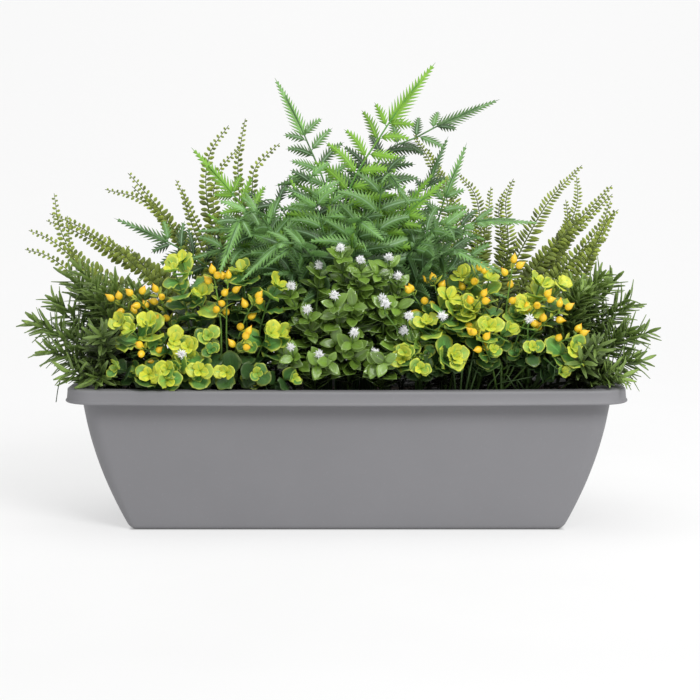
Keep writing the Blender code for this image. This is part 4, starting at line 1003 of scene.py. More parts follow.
def start_pick(hole, tips, radii=PICK_STEM):
    """A plant with the stem of a pick, and the paths of its shoots."""
    stem, shoots = pick_paths(hole, tips)
    plant = Growth()
    plant.stem(stem, *radii, 7)
    return plant, shoots


# Plants
def low_fronds():
    """Further fronds that fill the middle of the clump, and lime ones above them."""
    rng = random.Random(77)
    made = []
    for k in range(LOW_FRONDS):
        x = LOW_FROM + LOW_STEP * k + rng.uniform(-9.0, 9.0)
        y = rng.uniform(-66.0, 50.0)
        z = LOW_TOP - 0.0021 * x * x - rng.uniform(0.0, 84.0)
        hole = (x * 0.22 + rng.uniform(-12.0, 12.0), rng.uniform(0.0, 40.0))
        points = [(hole[0] + x * 0.1, hole[1] + y * 0.1, 230.0),
                  (x * 0.62, y * 0.5, z - 18.0 + rng.uniform(0.0, 24.0)),
                  (x, y, z - rng.uniform(0.0, 26.0))]
        entry = ("dark", hole, points, rng.uniform(50.0, 64.0), rng.uniform(-24.0, 24.0))
        made.append(("low_frond_%02d" % k, entry))
    for k, tip in enumerate(LIME_TIPS):
        hole = (tip[0] * 0.3, 20.0 + rng.uniform(-8.0, 8.0))
        points = [(hole[0] * 1.2, hole[1], 230.0), (tip[0] * 0.7, tip[1] + 6.0, tip[2] - 40.0), tip]
        entry = ("lime", hole, points, rng.uniform(34.0, 44.0), rng.uniform(-20.0, 20.0))
        made.append(("lime_frond_%02d" % k, entry))
    return made


def build_fern_frond(name, entry, materials, replaced=True):
    """One frond: a ribbed stem, pairs of cut branches and a cut spear at its tip.

    replaced tells a frond of the source from one that only the scene has.
    """
    colour, hole, points, reach, turn = entry
    path = frond_path(hole, points)
    total = path.length
    pairs = bpy.context.scene.planter_sizes.fern_pairs
    if replaced:
        facing = frond_facing(points, turn)
        front = Vector((0.0, -0.25, 0.0))
        shadow = 0.0
        # Painted shade on fronds whose turn is below zero, more the further it goes.
        away = max(0.0, -turn) * 0.022
        arch = (0.1, 0.75)
        last = total - min(78.0, total * 0.19)
    else:
        facing = Matrix.Rotation(math.radians(turn), 3, "Y") @ Vector((0.0, -0.8, 0.6))
        front = Vector((0.0, -0.8, 0.15))
        shadow = 0.03
        away = 0.0
        arch = (0.4, 1.15)
        last = total - min(54.0, total * 0.14)
        pairs -= 2
        reach *= 1.18
    rng = random.Random(name)
    plant = Growth()
    plant.stem(path, 1.9, 0.7, 8, 7.0, -20.0)
    first = total * 0.34
    for k in range(pairs):
        spot = first + (last - first) * (k / (pairs - 1)) ** 0.95
        share = (spot - total * 0.36) / (total * 0.64)
        along, across, normal = frame_at(path, spot, facing)
        if share < 0.2:
            length = reach * (0.82 + 0.9 * max(share, 0.0))
        else:
            length = reach * (1.0 - 0.84 * (share - 0.2) / 0.8)
        for sign in (-1.0, 1.0):
            lean = math.radians(82 - 38 * share + rng.uniform(-8, 8))
            aim = leaning(along, across * sign, lean) + normal * rng.uniform(0.0, 0.3)
            aim.normalize()
            size = length * rng.uniform(0.98, 1.18) * (1.18 - 0.14 * share)
            root = path.point(spot + rng.uniform(-1.5, 1.5) + 2.0 * sign)
            lobes = max(4, min(MOST_LOBES, round((size - 3.0) / LOBE_PITCH)))
            face = (normal + across * (sign * rng.uniform(-0.35, 0.3))
                    + along * rng.uniform(-0.25, 0.3) + front)
            aim = off_the_trough(root, aim, size)
            bend = rng.uniform(0.1, 0.5)
            # Painted shade: lower branches go darker, and on the scene's own fronds also those further back.
            age = 0.95 * rng.random() + max(0.0, 306.0 - root.z) * 0.016 + max(0.0, root.y) * shadow + away
            droop = rng.uniform(*arch) * min(1.0, size / 40.0)
            if aim.cross(face).z > 0.0:
                droop = -droop
            lift = (aim + UP * (abs(droop) * 0.4)).normalized()
            plant.leaf(COMBS[lobes], root + lift * 3.0, lift, face, size - 3.0, branch_width(size), bend=bend,
                       fold=-0.15, sway=droop, share=rng.random(), age=age)
            plant.tube([root, root + aim * 5.0], [0.8, 0.6], STEM, 4)
    start = path.point(last + 3.0)
    size = total - last + 4.0
    normal = frame_at(path, last, facing)[2] + front
    lobes = max(8, min(MOST_LOBES, round(size / SPEAR_PITCH)))
    plant.leaf(SPEARS[lobes], start, path.point(total) - start, normal, size,
               size * (0.31 if colour == "lime" else 0.27), bend=0.15, fold=-0.2, share=rng.random(),
               age=0.25 + away)
    plant.piece(name + "_leaves", materials[colour], "fern_" + colour, *([name] if replaced else []))


def build_sword_frond(name, entry, materials):
    """A slender frond with two rows of small oval leaflets, and often a second one behind it."""
    hole, points, turn = entry
    rng = random.Random(name)
    plant = Growth()
    shift = Vector((rng.uniform(-22.0, 22.0), rng.uniform(2.0, 12.0), rng.uniform(-34.0, -8.0)))
    behind = [Vector(point) + shift * (0.4 + 0.2 * k) for k, point in enumerate(points)]
    behind = [(point.x, min(108.0, point.y), point.z) for point in behind]
    doubled = rng.random() < (0.85 if hole[0] > 0 else 0.45)
    for way in (points, behind) if doubled else (points,):
        sword_frond(plant, frond_path(hole, way), turn, rng)
        turn += rng.uniform(-35.0, 35.0)
    plant.piece(name + "_leaves", materials, "sword_olive", name)


def sword_frond(plant, path, turn, rng):
    """One frond: slim leaflets on the right near the middle, thicker ones elsewhere."""
    facing = Matrix.Rotation(math.radians(turn), 3, "Z") @ Vector((0.0, -0.9, 0.5))
    total = path.length
    first = max(total * 0.2, total - 235.0)
    right = path.point(0.0).x > 0.0
    if right and path.point(total).x < 280.0:
        shape, pitch, longest, wide, least = SHAPES["slim"], 0.72, 17.5, 0.13, 1.9
    elif right:
        shape, pitch, longest, wide, least = SHAPES["sword"], 0.86, 15.0, 0.28, 2.0
    else:
        shape, pitch, longest, wide, least = SHAPES["sword"], 1.0, 11.8, 0.47, 1.0
    plant.stem(path, 1.5, 0.4)
    count = int((total - first) / (chosen_size("sword_pitch") * pitch))
    # Painted shade on the lower leaflets of each frond, stronger on the right.
    foot = 1.2 if right else 0.8
    for k in range(count):
        share = k / (count - 1)
        spot = first + (total - first - 5.0) * share ** 0.86
        along, across, normal = frame_at(path, spot, facing)
        length = 3.0 + longest * (1.0 - share ** 1.25)
        length *= 0.7 + 0.3 * min(1.0, k / 3.0)
        for sign in (-1.0, 1.0):
            aim = across * sign + along * rng.uniform(0.3, 0.6) + normal * rng.uniform(-0.1, 0.3)
            root = path.point(spot + 1.5 * sign) + across * (sign * 0.4)
            face = normal + along * rng.uniform(-0.7, 0.4) + across * (sign * rng.uniform(-0.9, 0.2))
            size = length * rng.uniform(0.85, 1.15)
            plant.leaf(shape, root, aim.normalized(), face, size, size * wide + least,
                       bend=rng.uniform(0.0, 0.6), fold=-0.15, share=rng.random(),
                       age=1.1 * rng.random() + foot * (1.0 - share) ** 1.3)


def turned(along, angle):
    """A direction square to a shoot, turned round it by an angle."""
    base = along.orthogonal().normalized()
    if abs(along.z) < 0.95:
        base = (UP - along * along.z).normalized()
    return Matrix.Rotation(angle, 3, along) @ base


def leaning(along, out, lean):
    """A direction that leans outwards from a shoot by an angle."""
    return along * math.cos(lean) + out * math.sin(lean)


def narrow_shoot(plant, path, rng, shadow=0.0, shape="narrow"):
    """A shoot set all round with narrow folded leaves, steeper towards its tip."""
    total = path.length
    plant.stem(path, 1.4, 0.8, 5)
    first = total * 0.25
    count = int((total - first) / NARROW_GAP)
    spin = rng.uniform(0.0, ANY_TURN)
    for k in range(count):
        share = k / (count - 1)
        spot = first + (total - first) * share
        along = path.along(spot)
        out = turned(along, spin + NARROW_TURN * k)
        aim = leaning(along, out, math.radians(70 - 28 * share ** 2.5 + rng.uniform(-13, 13)))
        length = chosen_size("narrow_length") * (1.0 - 0.25 * share ** 3) * rng.uniform(0.85, 1.12)
        root = path.point(spot)
        aim = off_the_trough(root, aim, length)
        # Leaves are young and lighter at the tip; towards the foot of the shoot they go past 1 into painted
        # shade, and shadow adds more painted shade.
        plant.leaf(SHAPES[shape], root, aim, along - out * 0.3, length,
                   NARROW_WIDTH * rng.uniform(0.8, 1.15), bend=rng.uniform(-0.3, 0.3), fold=0.35,
                   share=rng.random(), age=1.5 - 1.6 * share + shadow + rng.uniform(-0.4, 0.4))


def build_backing(name, x_from, x_to, materials):
    """Narrow-leaved shoots, darkened with painted shade, that stand behind the round leaves and hide the
    trough's far wall.
    """
    rng = random.Random(name)
    plant = Growth()
    for k in range(BACKING_SHOOTS):
        x = x_from + (x_to - x_from) * (k + 0.5) / BACKING_SHOOTS
        root = Vector((x + rng.uniform(-8.0, 8.0), rng.uniform(-40.0, 60.0), STUB_BOTTOM + 20.0))
        height = rng.uniform(165.0, 245.0) if k % 2 else rng.uniform(158.0, 185.0)
        tip = Vector((x + rng.uniform(-26.0, 26.0), root.y + rng.uniform(-14.0, 14.0), height))
        path = Path([root, root.lerp(tip, 0.5) + Vector((rng.uniform(-5.0, 5.0), 0.0, 6.0)), tip])
        narrow_shoot(plant, path, rng, 1.4, "backing")
    plant.piece(name, materials, "narrow_dark")


def build_narrow_pick(name, entry, materials):
    """A bushy pick: shoots set all round with narrow folded leaves."""
    hole, tips = entry
    rng = random.Random(name)
    tips = [(x * 0.955, y, z - 3.0) if z < 240.0 else (x * 0.925, y, z - 13.0) for x, y, z in tips]
    plant, shoots = start_pick(hole, tips)
    shadows = [0.0] * len(shoots)
    layers = [((0.72, 0.98), 24.0, 0.0, 1), ((0.4, 0.8), 22.0, 0.35, 1), ((0.15, 0.5), 22.0, 0.7, 1)]
    if hole[0] > 0.0:
        layers.append(((0.88, 1.02), 17.0, 0.1, 3))
    for share, scatter, shadow, every in layers:
        for path in more_shoots(hole, tips, share, scatter, rng, 0.0, every):
            shoots.append(path)
            shadows.append(shadow)
    for path, shadow in zip(shoots, shadows):
        tip = path.point(path.length)
        # Painted shade on shoots whose tips end low and within the ends of the trough.
        inner = 0.6 if abs(tip.x) < 264.0 and tip.z < 232.0 else 0.0
        narrow_shoot(plant, path, rng, shadow + inner)
    for root, tip in LONG_BLADES if name == "narrow_leaf_right_front" else ():
        aim = Vector(tip) - Vector(root)
        plant.leaf(SHAPES["narrow"], Vector(root), aim, UP, aim.length, 4.2, bend=0.25, fold=0.3, age=0.3)
    plant.piece(name + "_leaves", materials, "narrow_dark", name)


def round_shoot(plant, path, size, young, lowest, rng):
    """Opposite pairs of round leaves along a shoot, and a small rosette on its tip."""
    total = path.length
    plant.stem(path, *SHOOT_STEM, beyond=1.0)
    first = total * (0.4 if total > 60 else 0.55)
    count = max(3, int((total - first) / WHORL_GAP) + 1)
    spin = rng.uniform(0.0, ANY_TURN)
    for k in range(count):
        share = k / (count - 1)
        spot = first + (total - first) * share
        along = (path.along(spot) + Vector((0.0, -0.7, 0.0)) * share).normalized()
        grown = 1.0 if share < 0.7 else 1.0 - 0.3 * (share - 0.7) / 0.3
        for half in (0, 1):
            out = turned(along, spin + k * QUARTER_TURN + half * math.pi + rng.uniform(-0.25, 0.25))
            aim = leaning(along, out, math.radians(76 - 24 * share + rng.uniform(-9, 9)))
            length = size * grown * rng.uniform(0.8, 1.08)
            root = path.point(spot)
            aim = off_the_trough(root, aim, length, lowest)
            # Painted shade on leaves low down and further back, weaker on picks that have a lowest height.
            low_and_back_shade = max(0.0, 196.0 - root.z) * 0.014 + max(0.0, root.y + 66.0) * 0.012
            low_and_back_shade *= 0.6 if lowest else 1.0
            # Lower pairs are older and darker, and past 1 painted shade; for the inner shoots, young itself
            # starts at painted shade.
            age = max(0.0, young + 1.9 * (1.0 - share) + low_and_back_shade + rng.uniform(-0.1, 0.4))
            plant.leaf(SHAPES["round"], root, aim, along + out * 0.1, length,
                       length * rng.uniform(0.88, 1.08), bend=rng.uniform(-0.4, 0.6), fold=0.1, wave=0.08,
                       share=rng.random(), age=age)
    for k in range(3):
        out = turned(along, spin + 0.8 + k * 2.1)
        aim = along * 0.75 + out * (0.9 if k % 2 else 0.6)
        length = size * rng.uniform(0.36, 0.58)
        plant.leaf(SHAPES["round"], path.point(total), aim, along - out * 0.6, length, length * 0.85,
                   bend=0.1, fold=0.15, wave=0.07, share=rng.random(), age=max(0.0, young - 0.25))


def build_round_pick(name, entry, materials):
    """A pick of shoots with round leaves, and on some a few white heads."""
    hole, tips = entry
    rng = random.Random(name)
    plant, shoots = start_pick(hole, tips)
    size = chosen_size("round_length")
    lowest, grown = (176.0, 0.48) if hole[0] > 0.0 else (0.0, 0.65)
    ages_and_shades = []
    for path in shoots:
        ages_and_shades.append(0.05 if path.point(path.length).z > 225 or rng.random() < 0.35 else grown)
    # The inner layer of shoots starts at 1.2, which is painted shade.
    for share, scatter, age in (((0.75, 0.95), 24.0, 0.3), ((0.3, 0.7), 20.0, 1.2)):
        for path in more_shoots(hole, tips, share, scatter, rng, lowest + 12.0, 2):
            shoots.append(path)
            ages_and_shades.append(age)
    for path, age in zip(shoots, ages_and_shades):
        round_shoot(plant, path, size * (1.0 if age < 0.4 else 0.8), age, lowest, rng)
    for root, end in EXTRA_HEADS.get(name, ()):
        stalk = Path([root, Vector(root).lerp(Vector(end), 0.5) + UP * 6.0, end])
        plant.stem(stalk, 1.1, 0.8, 5)
        flower_head(plant, Vector(end), Vector((0.1, -0.5, 0.8)), rng)
    plant.piece(name + "_leaves", materials, "round_lime", name)


def flower_head(plant, end, lean, rng):
    """A round head of fine white petals on a short green stalk."""
    radius = chosen_size("flower_radius")
    stalk = Path([end - UP * 2.0, end + lean * 4.0, end + lean * 10.0])
    plant.stem(stalk, 0.7, 0.9, 5, 4.0)
    centre = stalk.point(stalk.length) + lean.normalized() * 1.5
    for k in range(PETALS):
        z = 1.0 - HEAD_COVER * (k + 0.5) / PETALS
        angle = k * GOLDEN_ANGLE
        flat = math.sqrt(max(0.0, 1.0 - z * z))
        aim = Vector((flat * math.cos(angle), flat * math.sin(angle), z))
        aim = lean.to_track_quat("Z", "Y") @ aim
        aim += Vector((rng.uniform(-0.2, 0.2), rng.uniform(-0.2, 0.2), rng.uniform(-0.2, 0.2)))
        face = aim.orthogonal()
        face.rotate(Matrix.Rotation(rng.uniform(0, ANY_TURN), 3, aim))
        plant.leaf(SHAPES["petal"], centre, aim, face, radius * rng.uniform(0.62, 1.36), PETAL_WIDTH,
                   bend=0.2, fold=0.3, share=rng.random(), slot=HEAD)


def box_shoot(plant, path, shadow, rng):
    """Whorls of two or three glossy leaves along a shoot."""
    size = chosen_size("box_length")
    total = path.length
    plant.stem(path, *SHOOT_STEM)
    first = total * 0.25
    count = max(3, int((total - first) / WHORL_GAP) + 1)
    spin = rng.uniform(0.0, ANY_TURN)
    for k in range(count):
        share = k / (count - 1)
        spot = first + (total - first - 1.0) * share
        along = (path.along(spot) + Vector((0.0, -0.6, 0.0)) * share).normalized()
        around = 3 if share > 0.7 else 2
        for half in range(around):
            out = turned(along, spin + k * BOX_TURN + half * FULL_TURN / around + rng.uniform(-0.3, 0.3))
            aim = leaning(along, out, math.radians(86 - 34 * share + rng.uniform(-12, 12)))
            length = size * (1.0 - 0.2 * max(0.0, share - 0.7) / 0.3) * rng.uniform(0.8, 1.1)
            root = path.point(spot)
            aim = off_the_trough(root, aim, length, 170.0)
            # Lower whorls are older and darker, and past 1 painted shade; shadow adds painted shade on inner
            # shoots.
            age = 0.1 + 1.35 * (1.0 - share) + shadow + rng.uniform(-0.5, 0.5)
            plant.leaf(SHAPES["box"], root, aim, along - out * 0.2, length, length * rng.uniform(0.53, 0.62),
                       bend=rng.uniform(-0.15, 0.8), fold=0.22, share=rng.random(), age=age)


def build_box_pick(name, entry, materials):
    """Shoots with whorls of glossy oval leaves and a white flower head on each outer tip."""
    hole, tips = entry
    rng = random.Random(name)
    plant, shoots = start_pick(hole, tips)
    for path in shoots:
        box_shoot(plant, path, 0.0, rng)
        flower_head(plant, path.point(path.length), Vector((rng.uniform(-0.2, 0.2), -0.35, 1.0)), rng)
    for share, scatter, shadow in (((0.75, 1.05), 18.0, 0.0), ((0.35, 0.75), 22.0, 0.6)):
        for path in more_shoots(hole, tips, share, scatter, rng, 186.0):
            box_shoot(plant, path, shadow, rng)
    plant.piece(name + "_leaves", materials, "box_green", name)


def fruit(plant, root, aim, rng):
    """A drop-shaped fruit with a pointed end, lathed round its axis."""
    aim = aim.normalized()
    across = aim.orthogonal().normalized()
    other = aim.cross(across)
    radius = chosen_size("fruit_radius")
    length = radius * FRUIT_LENGTH * rng.uniform(0.93, 1.07)
    wide = radius * rng.uniform(0.92, 1.06)
    chance = rng.random()
    verts, tints = [], []
    for along, wide_share in FRUIT_PROFILE:
        for j in range(FRUIT_SIDES):
            angle = 2 * math.pi * j / FRUIT_SIDES
            turn = across * math.cos(angle) + other * math.sin(angle)
            verts.append(root + aim * (along * length) + turn * (wide_share * wide))
            tints.append((0.5, along, chance, 0.5))
    plant.add(verts, ring_faces(len(FRUIT_PROFILE), FRUIT_SIDES), HEAD, tints)


def build_fruit_spray(name, entry, materials):
    """Thin green twigs with stalked fruits and a few small leaves."""
    hole, tips = entry
    rng = random.Random(name)
    plant, shoots = start_pick(hole, tips, FRUIT_STEM)
    for path in shoots:
        total = path.length
        plant.stem(path, 1.3, 0.7)
        spin = rng.uniform(0.0, ANY_TURN)
        for k, share in enumerate(FRUIT_SPOTS):
            spot = total * share
            along = path.along(spot)
            out = turned(along, spin + FRUIT_TURN * k)
            aim = leaning(along, out, math.radians(rng.uniform(34, 62)) if share < 0.99 else 0.1)
            stalk = rng.uniform(4.5, 8.5)
            root = path.point(spot)
            head = root + aim * stalk
            line = [root, root + aim * (stalk * 0.6) + along * 0.6, head + aim * 0.5]
            plant.tube(line, [0.6, 0.5, 0.7], STEM, 5)
            fruit(plant, head, aim, rng)
            if rng.random() < 0.7:
                side = turned(along, spin + FRUIT_TURN * k + 2.0)
                plant.leaf(SHAPES["bract"], root, side + along * 0.8, along - side * 0.4,
                           rng.uniform(9.0, 14.0), 4.6, bend=rng.uniform(-0.3, 0.4), fold=0.3,
                           share=rng.random(), age=0.2)
    plant.piece(name + "_fruits", materials, "fruit_amber", name)


def fill_surface():
    """Heights on the filling, from its own mesh in the frame."""
    graph = bpy.context.evaluated_depsgraph_get()
    tree = BVHTree.FromObject(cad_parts["foam_fill"], graph)

    def height(x, y):
        hit = tree.ray_cast(Vector((x * MM, y * MM, 0.3)), -UP)
        return hit[0].z / MM if hit[0] is not None else None

    return height


def build_moss(entry, height, material):
    """A mat of fine curly fibres along the front edge."""
    name, x_from, x_to, seed = entry
    rng = random.Random(seed)
    plant = Growth()
    for _ in range(MOSS_FIBRES):
        x = rng.uniform(x_from - 2, x_to + 2)
        y = max(MOSS_STARTS[0], min(MOSS_STARTS[1], rng.gauss(MOSS_LINE, 6.0)))
        level = height(x, max(y, MOSS_STARTS[0] + 1.0)) or MOSS_FLOOR + 2.0
        z = max(level, MOSS_FLOOR) + abs(rng.gauss(0.0, 4.5))
        heading = rng.uniform(0.0, 2 * math.pi)
        point = Vector((x, y, z))
        points = [point]
        length = rng.uniform(7.0, 22.0)
        for _ in range(MOSS_STEPS):
            heading += rng.uniform(-0.9, 0.9)
            rise = rng.uniform(-0.35, 0.5)
            point = point + Vector((math.cos(heading), math.sin(heading) * 0.6, rise)) * (length / MOSS_STEPS)
            point.y = max(MOSS_REACH[0], min(MOSS_REACH[1], point.y))
            point.z = max(MOSS_FLOOR + 1.0, point.z)
            points.append(point)
        thick = rng.uniform(0.18, 0.42)
        plant.tube(points, [thick] * MOSS_STEPS + [thick * 0.4], 0, 3, (0.5, 0.5, rng.random(), 0.5))
    plant.piece(name + "_fibres", [material], "moss_olive", name)


def build_loose_stems(material):
    """A fan of bare pick stems and a few curled thin ones."""
    plant = Growth()
    for k, top in enumerate(FAN_TOPS):
        root = (FAN_ROOT[0] + 2.4 * k, FAN_ROOT[1], STUB_BOTTOM + 16.0)
        path = Path([root, (root[0] * 0.7 + top[0] * 0.3, root[1] - 3.0, 150.0), top])
        plant.stem(path, 1.2, 1.0, 6, 6.0, slot=0)
    for points in CURLS:
        plant.stem(Path(points), 0.7, 0.5, 5, 4.0, slot=0)
    plant.piece("loose_stems", [material], "box_green")


def build_soil(height, material):
    """Loose crumbs scattered over the top of the filling."""
    rng = random.Random(5)
    plant = Growth()
    ball = bmesh.new()
    bmesh.ops.create_icosphere(ball, subdivisions=1, radius=1.0)
    base = np.array([v.co for v in ball.verts])
    faces = [tuple(v.index for v in face.verts) for face in ball.faces]
    ball.free()
    for _ in range(SOIL_CRUMBS):
        x = rng.uniform(-CRUMBS_X, CRUMBS_X)
        y = rng.uniform(-CRUMBS_Y, CRUMBS_Y)
        level = height(x, y)
        if level is None or level < CRUMBS_LOWEST:
            continue
        radius = rng.uniform(0.7, 2.6)
        jitter = np.array([[rng.uniform(0.65, 1.25)] for _ in base])
        verts = base * jitter * radius * np.array([1.0, rng.uniform(0.7, 1.0), rng.uniform(0.5, 0.9)])
        plant.add(verts + np.array([x, y, level + radius * 0.25]), faces, 0, (0.5, 0.5, rng.random(), 0.5))
    plant.piece("soil_crumbs", [material], "fill_brown", smooth=False)


# Stage
CAMERA_PLACE = (3.7 * MM, -1700.0 * MM, 387.5 * MM)
CAMERA_TILT = 6.72
CAMERA_LENS = 79.3
WORLD_STRENGTH = 0.5
SWEEP_FRONT = -4.0
SWEEP_TURN = 1.5
SWEEP_RADIUS = 1.4
SWEEP_HEIGHT = 3.6
SWEEP_HALF = 4.0
SWEEP_STEPS = 16


def sweep_material():
    """Pale paper whose glow, painted light that lifts the shadows on it, grows a little towards the back and
    is weaker at the front; under the trough's foot there is no glow, which paints a contact shadow.
    """
    material, shader = start_material("pale_sweep", 0.95, 0.05)
    patches = spread(material, noise(material, 3.0), 0.3, 0.7)
    x, y = object_axes(material)[:2]
    near = blend_colours(material, patches, (0.4, 0.4, 0.4), (0.42, 0.42, 0.42))
    base = blend_colours(material, spread(material, y, 0.1, 1.8), near, (0.4, 0.4, 0.4))
    wire(material, base, shader.inputs["Base Color"])
    shader.inputs["Emission Color"].default_value = (1.0, 1.0, 1.0, 1.0)
    # Painted light: the paper glows, more towards the back and less at the front.
    glow = sums(material, "ADD", spread(material, y, 0.1, 2.0, 0.54, 0.61),
                spread(material, y, -0.5, -0.2, -0.045, 0.0))
    # Painted contact shadow: no glow under the trough's base, fading in over 8 mm beyond it.
    foot_x = RIM_LENGTH * MM / 2 - (RIM_OVERHANG + BASE_INSET_X + FOOT_RADIUS) * MM
    foot_y = RIM_DEPTH * MM / 2 - (RIM_OVERHANG + BASE_INSET_Y + FOOT_RADIUS) * MM
    beyond_x = sums(material, "SUBTRACT", sums(material, "ABSOLUTE", x), foot_x)
    beyond_y = sums(material, "SUBTRACT", sums(material, "ABSOLUTE", y), foot_y)
    outside_painted_shadow = spread(material, sums(material, "MAXIMUM", beyond_x, beyond_y), 0.0, 0.008)
    wire(material, sums(material, "MULTIPLY", glow, outside_painted_shadow), shader.inputs["Emission Strength"])
    return material


def build_sweep():
    """A floor that curves up into a back wall, so that no edge shows behind the planter."""
    line = [(SWEEP_FRONT, 0.0), (-1.0, 0.0), (0.6, 0.0)]
    for step in range(SWEEP_STEPS + 1):
        angle = 0.5 * math.pi * step / SWEEP_STEPS
        line.append((SWEEP_TURN + SWEEP_RADIUS * math.sin(angle), SWEEP_RADIUS * (1 - math.cos(angle))))
    line.append((SWEEP_TURN + SWEEP_RADIUS, SWEEP_HEIGHT))
    verts = [(side * SWEEP_HALF, y, z) for y, z in line for side in (-1, 1)]
    faces = [(2 * k, 2 * k + 1, 2 * k + 3, 2 * k + 2) for k in range(len(line) - 1)]
    floor = add_mesh("pale_sweep", verts, faces, [True] * len(faces), [sweep_material()])


def add_light(name, place, target, size, energy):
    """A rectangular light at a place, turned to its target."""
    data = bpy.data.lights.new(name, "AREA")
    data.shape = "RECTANGLE"
    data.size = size[0]
    data.size_y = size[1]
    data.energy = energy
    light = add_object(name, data)
    light.location = place
    light.rotation_euler = (Vector(target) - Vector(place)).to_track_quat("-Z", "Y").to_euler()


def add_world():
    world = bpy.data.worlds.new("studio")
    bpy.context.scene.world = world
    world.use_nodes = True
    background = world.node_tree.nodes["Background"]
    background.inputs["Color"].default_value = (1.0, 1.0, 1.0, 1.0)
    background.inputs["Strength"].default_value = WORLD_STRENGTH


def add_camera():
    data = bpy.data.cameras.new("photo_camera")
    data.lens = CAMERA_LENS
    data.sensor_width = 36.0
    data.clip_start = 0.05
    data.clip_end = 100.0
    camera = add_object("photo_camera", data)
    camera.location = CAMERA_PLACE
    camera.rotation_euler = (math.radians(90.0 - CAMERA_TILT), 0.0, 0.0)
    bpy.context.scene.camera = camera


class PLANTER_OT_trough(bpy.types.Operator):
    """Builds the trough with its rounded rim."""
    bl_idname = "planter.trough"
    bl_label = "Trough"

    def execute(self, context):
        build_trough()
        return {"FINISHED"}


class PLANTER_OT_centre_fern(bpy.types.Operator):
    """Builds the dark and lime fronds in the centre."""
    bl_idname = "planter.centre_fern"
    bl_label = "Centre fern"

    def execute(self, context):
        dark = chosen_colour("fern_dark")
        lime = chosen_colour("fern_lime")
        materials = {
            "dark": [leaf_material("fern_leaf_dark", shade(dark, 2.7, 0.08), shade(dark, 0.6),
                                   shade(dark, 2.2, 0.1), (0.3, 0.5, 0.28), shade(dark, 1.9), edge_from=0.7,
                                   roughness=0.38, veins=20.0, rib_to=0.18),
                     stem_material("fern_stem_dark", shade(dark, 1.5), shade(dark, 0.6))],
            "lime": [leaf_material("fern_leaf_lime", shade(lime, 1.25), shade(lime, 0.7),
                                   shade(lime, 1.35, 0.1), shade(lime, 1.5), shade(lime, 0.8), edge_from=0.7,
                                   roughness=0.5, veins=20.0),
                     stem_material("fern_stem_lime", shade(lime, 0.95), (0.1, 0.3, 0.06))],
        }
        for number, entry in enumerate(CENTRE_FERN, 1):
            build_fern_frond("fern_frond_%02d" % number, entry, materials)
        for name, entry in low_fronds():
            build_fern_frond(name, entry, materials, False)
        return {"FINISHED"}


class PLANTER_OT_sword_fern(bpy.types.Operator):
    """Builds the slender fronds behind, on the left and on the right."""
    bl_idname = "planter.sword_fern"
    bl_label = "Sword fern"

    def execute(self, context):
        tone = chosen_colour("sword")
        materials = [leaf_material("sword_leaf", shade(tone, 1.5, 0.1), shade(tone, 0.62),
                                   shade(tone, 1.5, 0.15), shade(tone, 0.5), shade(tone, 0.55),
                                   edge_from=0.75, roughness=0.5, veins=8.0),
                     stem_material("sword_stem", shade(tone, 0.6), shade(tone, 0.25))]
        for number, entry in enumerate(SWORD_FERN, 1):
            build_sword_frond("sword_frond_%02d" % number, entry, materials)
        return {"FINISHED"}


class PLANTER_OT_narrow_leaf(bpy.types.Operator):
    """Builds the bushy picks with narrow dark leaves at both ends."""
    bl_idname = "planter.narrow_leaf"
    bl_label = "Narrow leaves"

    def execute(self, context):
        tone = chosen_colour("narrow")
        # The midrib colour, lighter than the leaf, is a painted reflection along each leaf's fold.
        materials = [leaf_material("narrow_leaf", shade(tone, 4.0, 0.08), shade(tone, 0.68), shade(tone, 2.5),
                                   shade(tone, 1.7), shade(tone, 1.3), edge_from=0.6, roughness=0.34,
                                   veins=4.0),
                     stem_material("narrow_stem", shade(tone, 1.4), shade(tone, 0.6))]
        for place, *entry in NARROW_PICKS:
            build_narrow_pick("narrow_leaf_" + place, entry, materials)
        build_backing("narrow_backing_left", -215.0, -60.0, materials)
        build_backing("narrow_backing_right", 60.0, 215.0, materials)
        return {"FINISHED"}


class PLANTER_OT_round_leaf(bpy.types.Operator):
    """Builds the picks with round yellow-green leaves along the front."""
    bl_idname = "planter.round_leaf"
    bl_label = "Round leaves"

    def execute(self, context):
        leaf = chosen_colour("round_leaf")
        edge = chosen_colour("round_edge")
        materials = [leaf_material("round_leaf", shade(edge, 1.1), leaf, shade(edge, 1.05), shade(leaf, 1.5),
                                   shade(leaf, 1.3), edge_from=0.62, roughness=0.36, veins=5.0, tips=0.15),
                     stem_material("round_stem", shade(leaf, 0.75, 0.3), shade(leaf, 0.35, 0.2)),
                     flower_material(chosen_colour("flower"))]
        for place, *entry in ROUND_PICKS:
            build_round_pick("round_leaf_" + place, entry, materials)
        return {"FINISHED"}


class PLANTER_OT_fruit(bpy.types.Operator):
    """Builds the twigs with yellow-orange fruits."""
    bl_idname = "planter.fruit"
    bl_label = "Fruit sprays"

    def execute(self, context):
        leaf = chosen_colour("round_leaf")
        edge = chosen_colour("round_edge")
        materials = [leaf_material("fruit_leaf", edge, leaf, shade(edge, 1.1), shade(edge, 0.9),
                                   shade(leaf, 1.3), edge_from=0.6, roughness=0.45, veins=4.0),
                     stem_material("fruit_twig", shade(leaf, 0.9, 0.4), shade(leaf, 0.45, 0.3)),
                     fruit_material(chosen_colour("fruit"))]
        for place, *entry in FRUIT_SPRAYS:
            build_fruit_spray("fruit_spray_" + place, entry, materials)
        return {"FINISHED"}


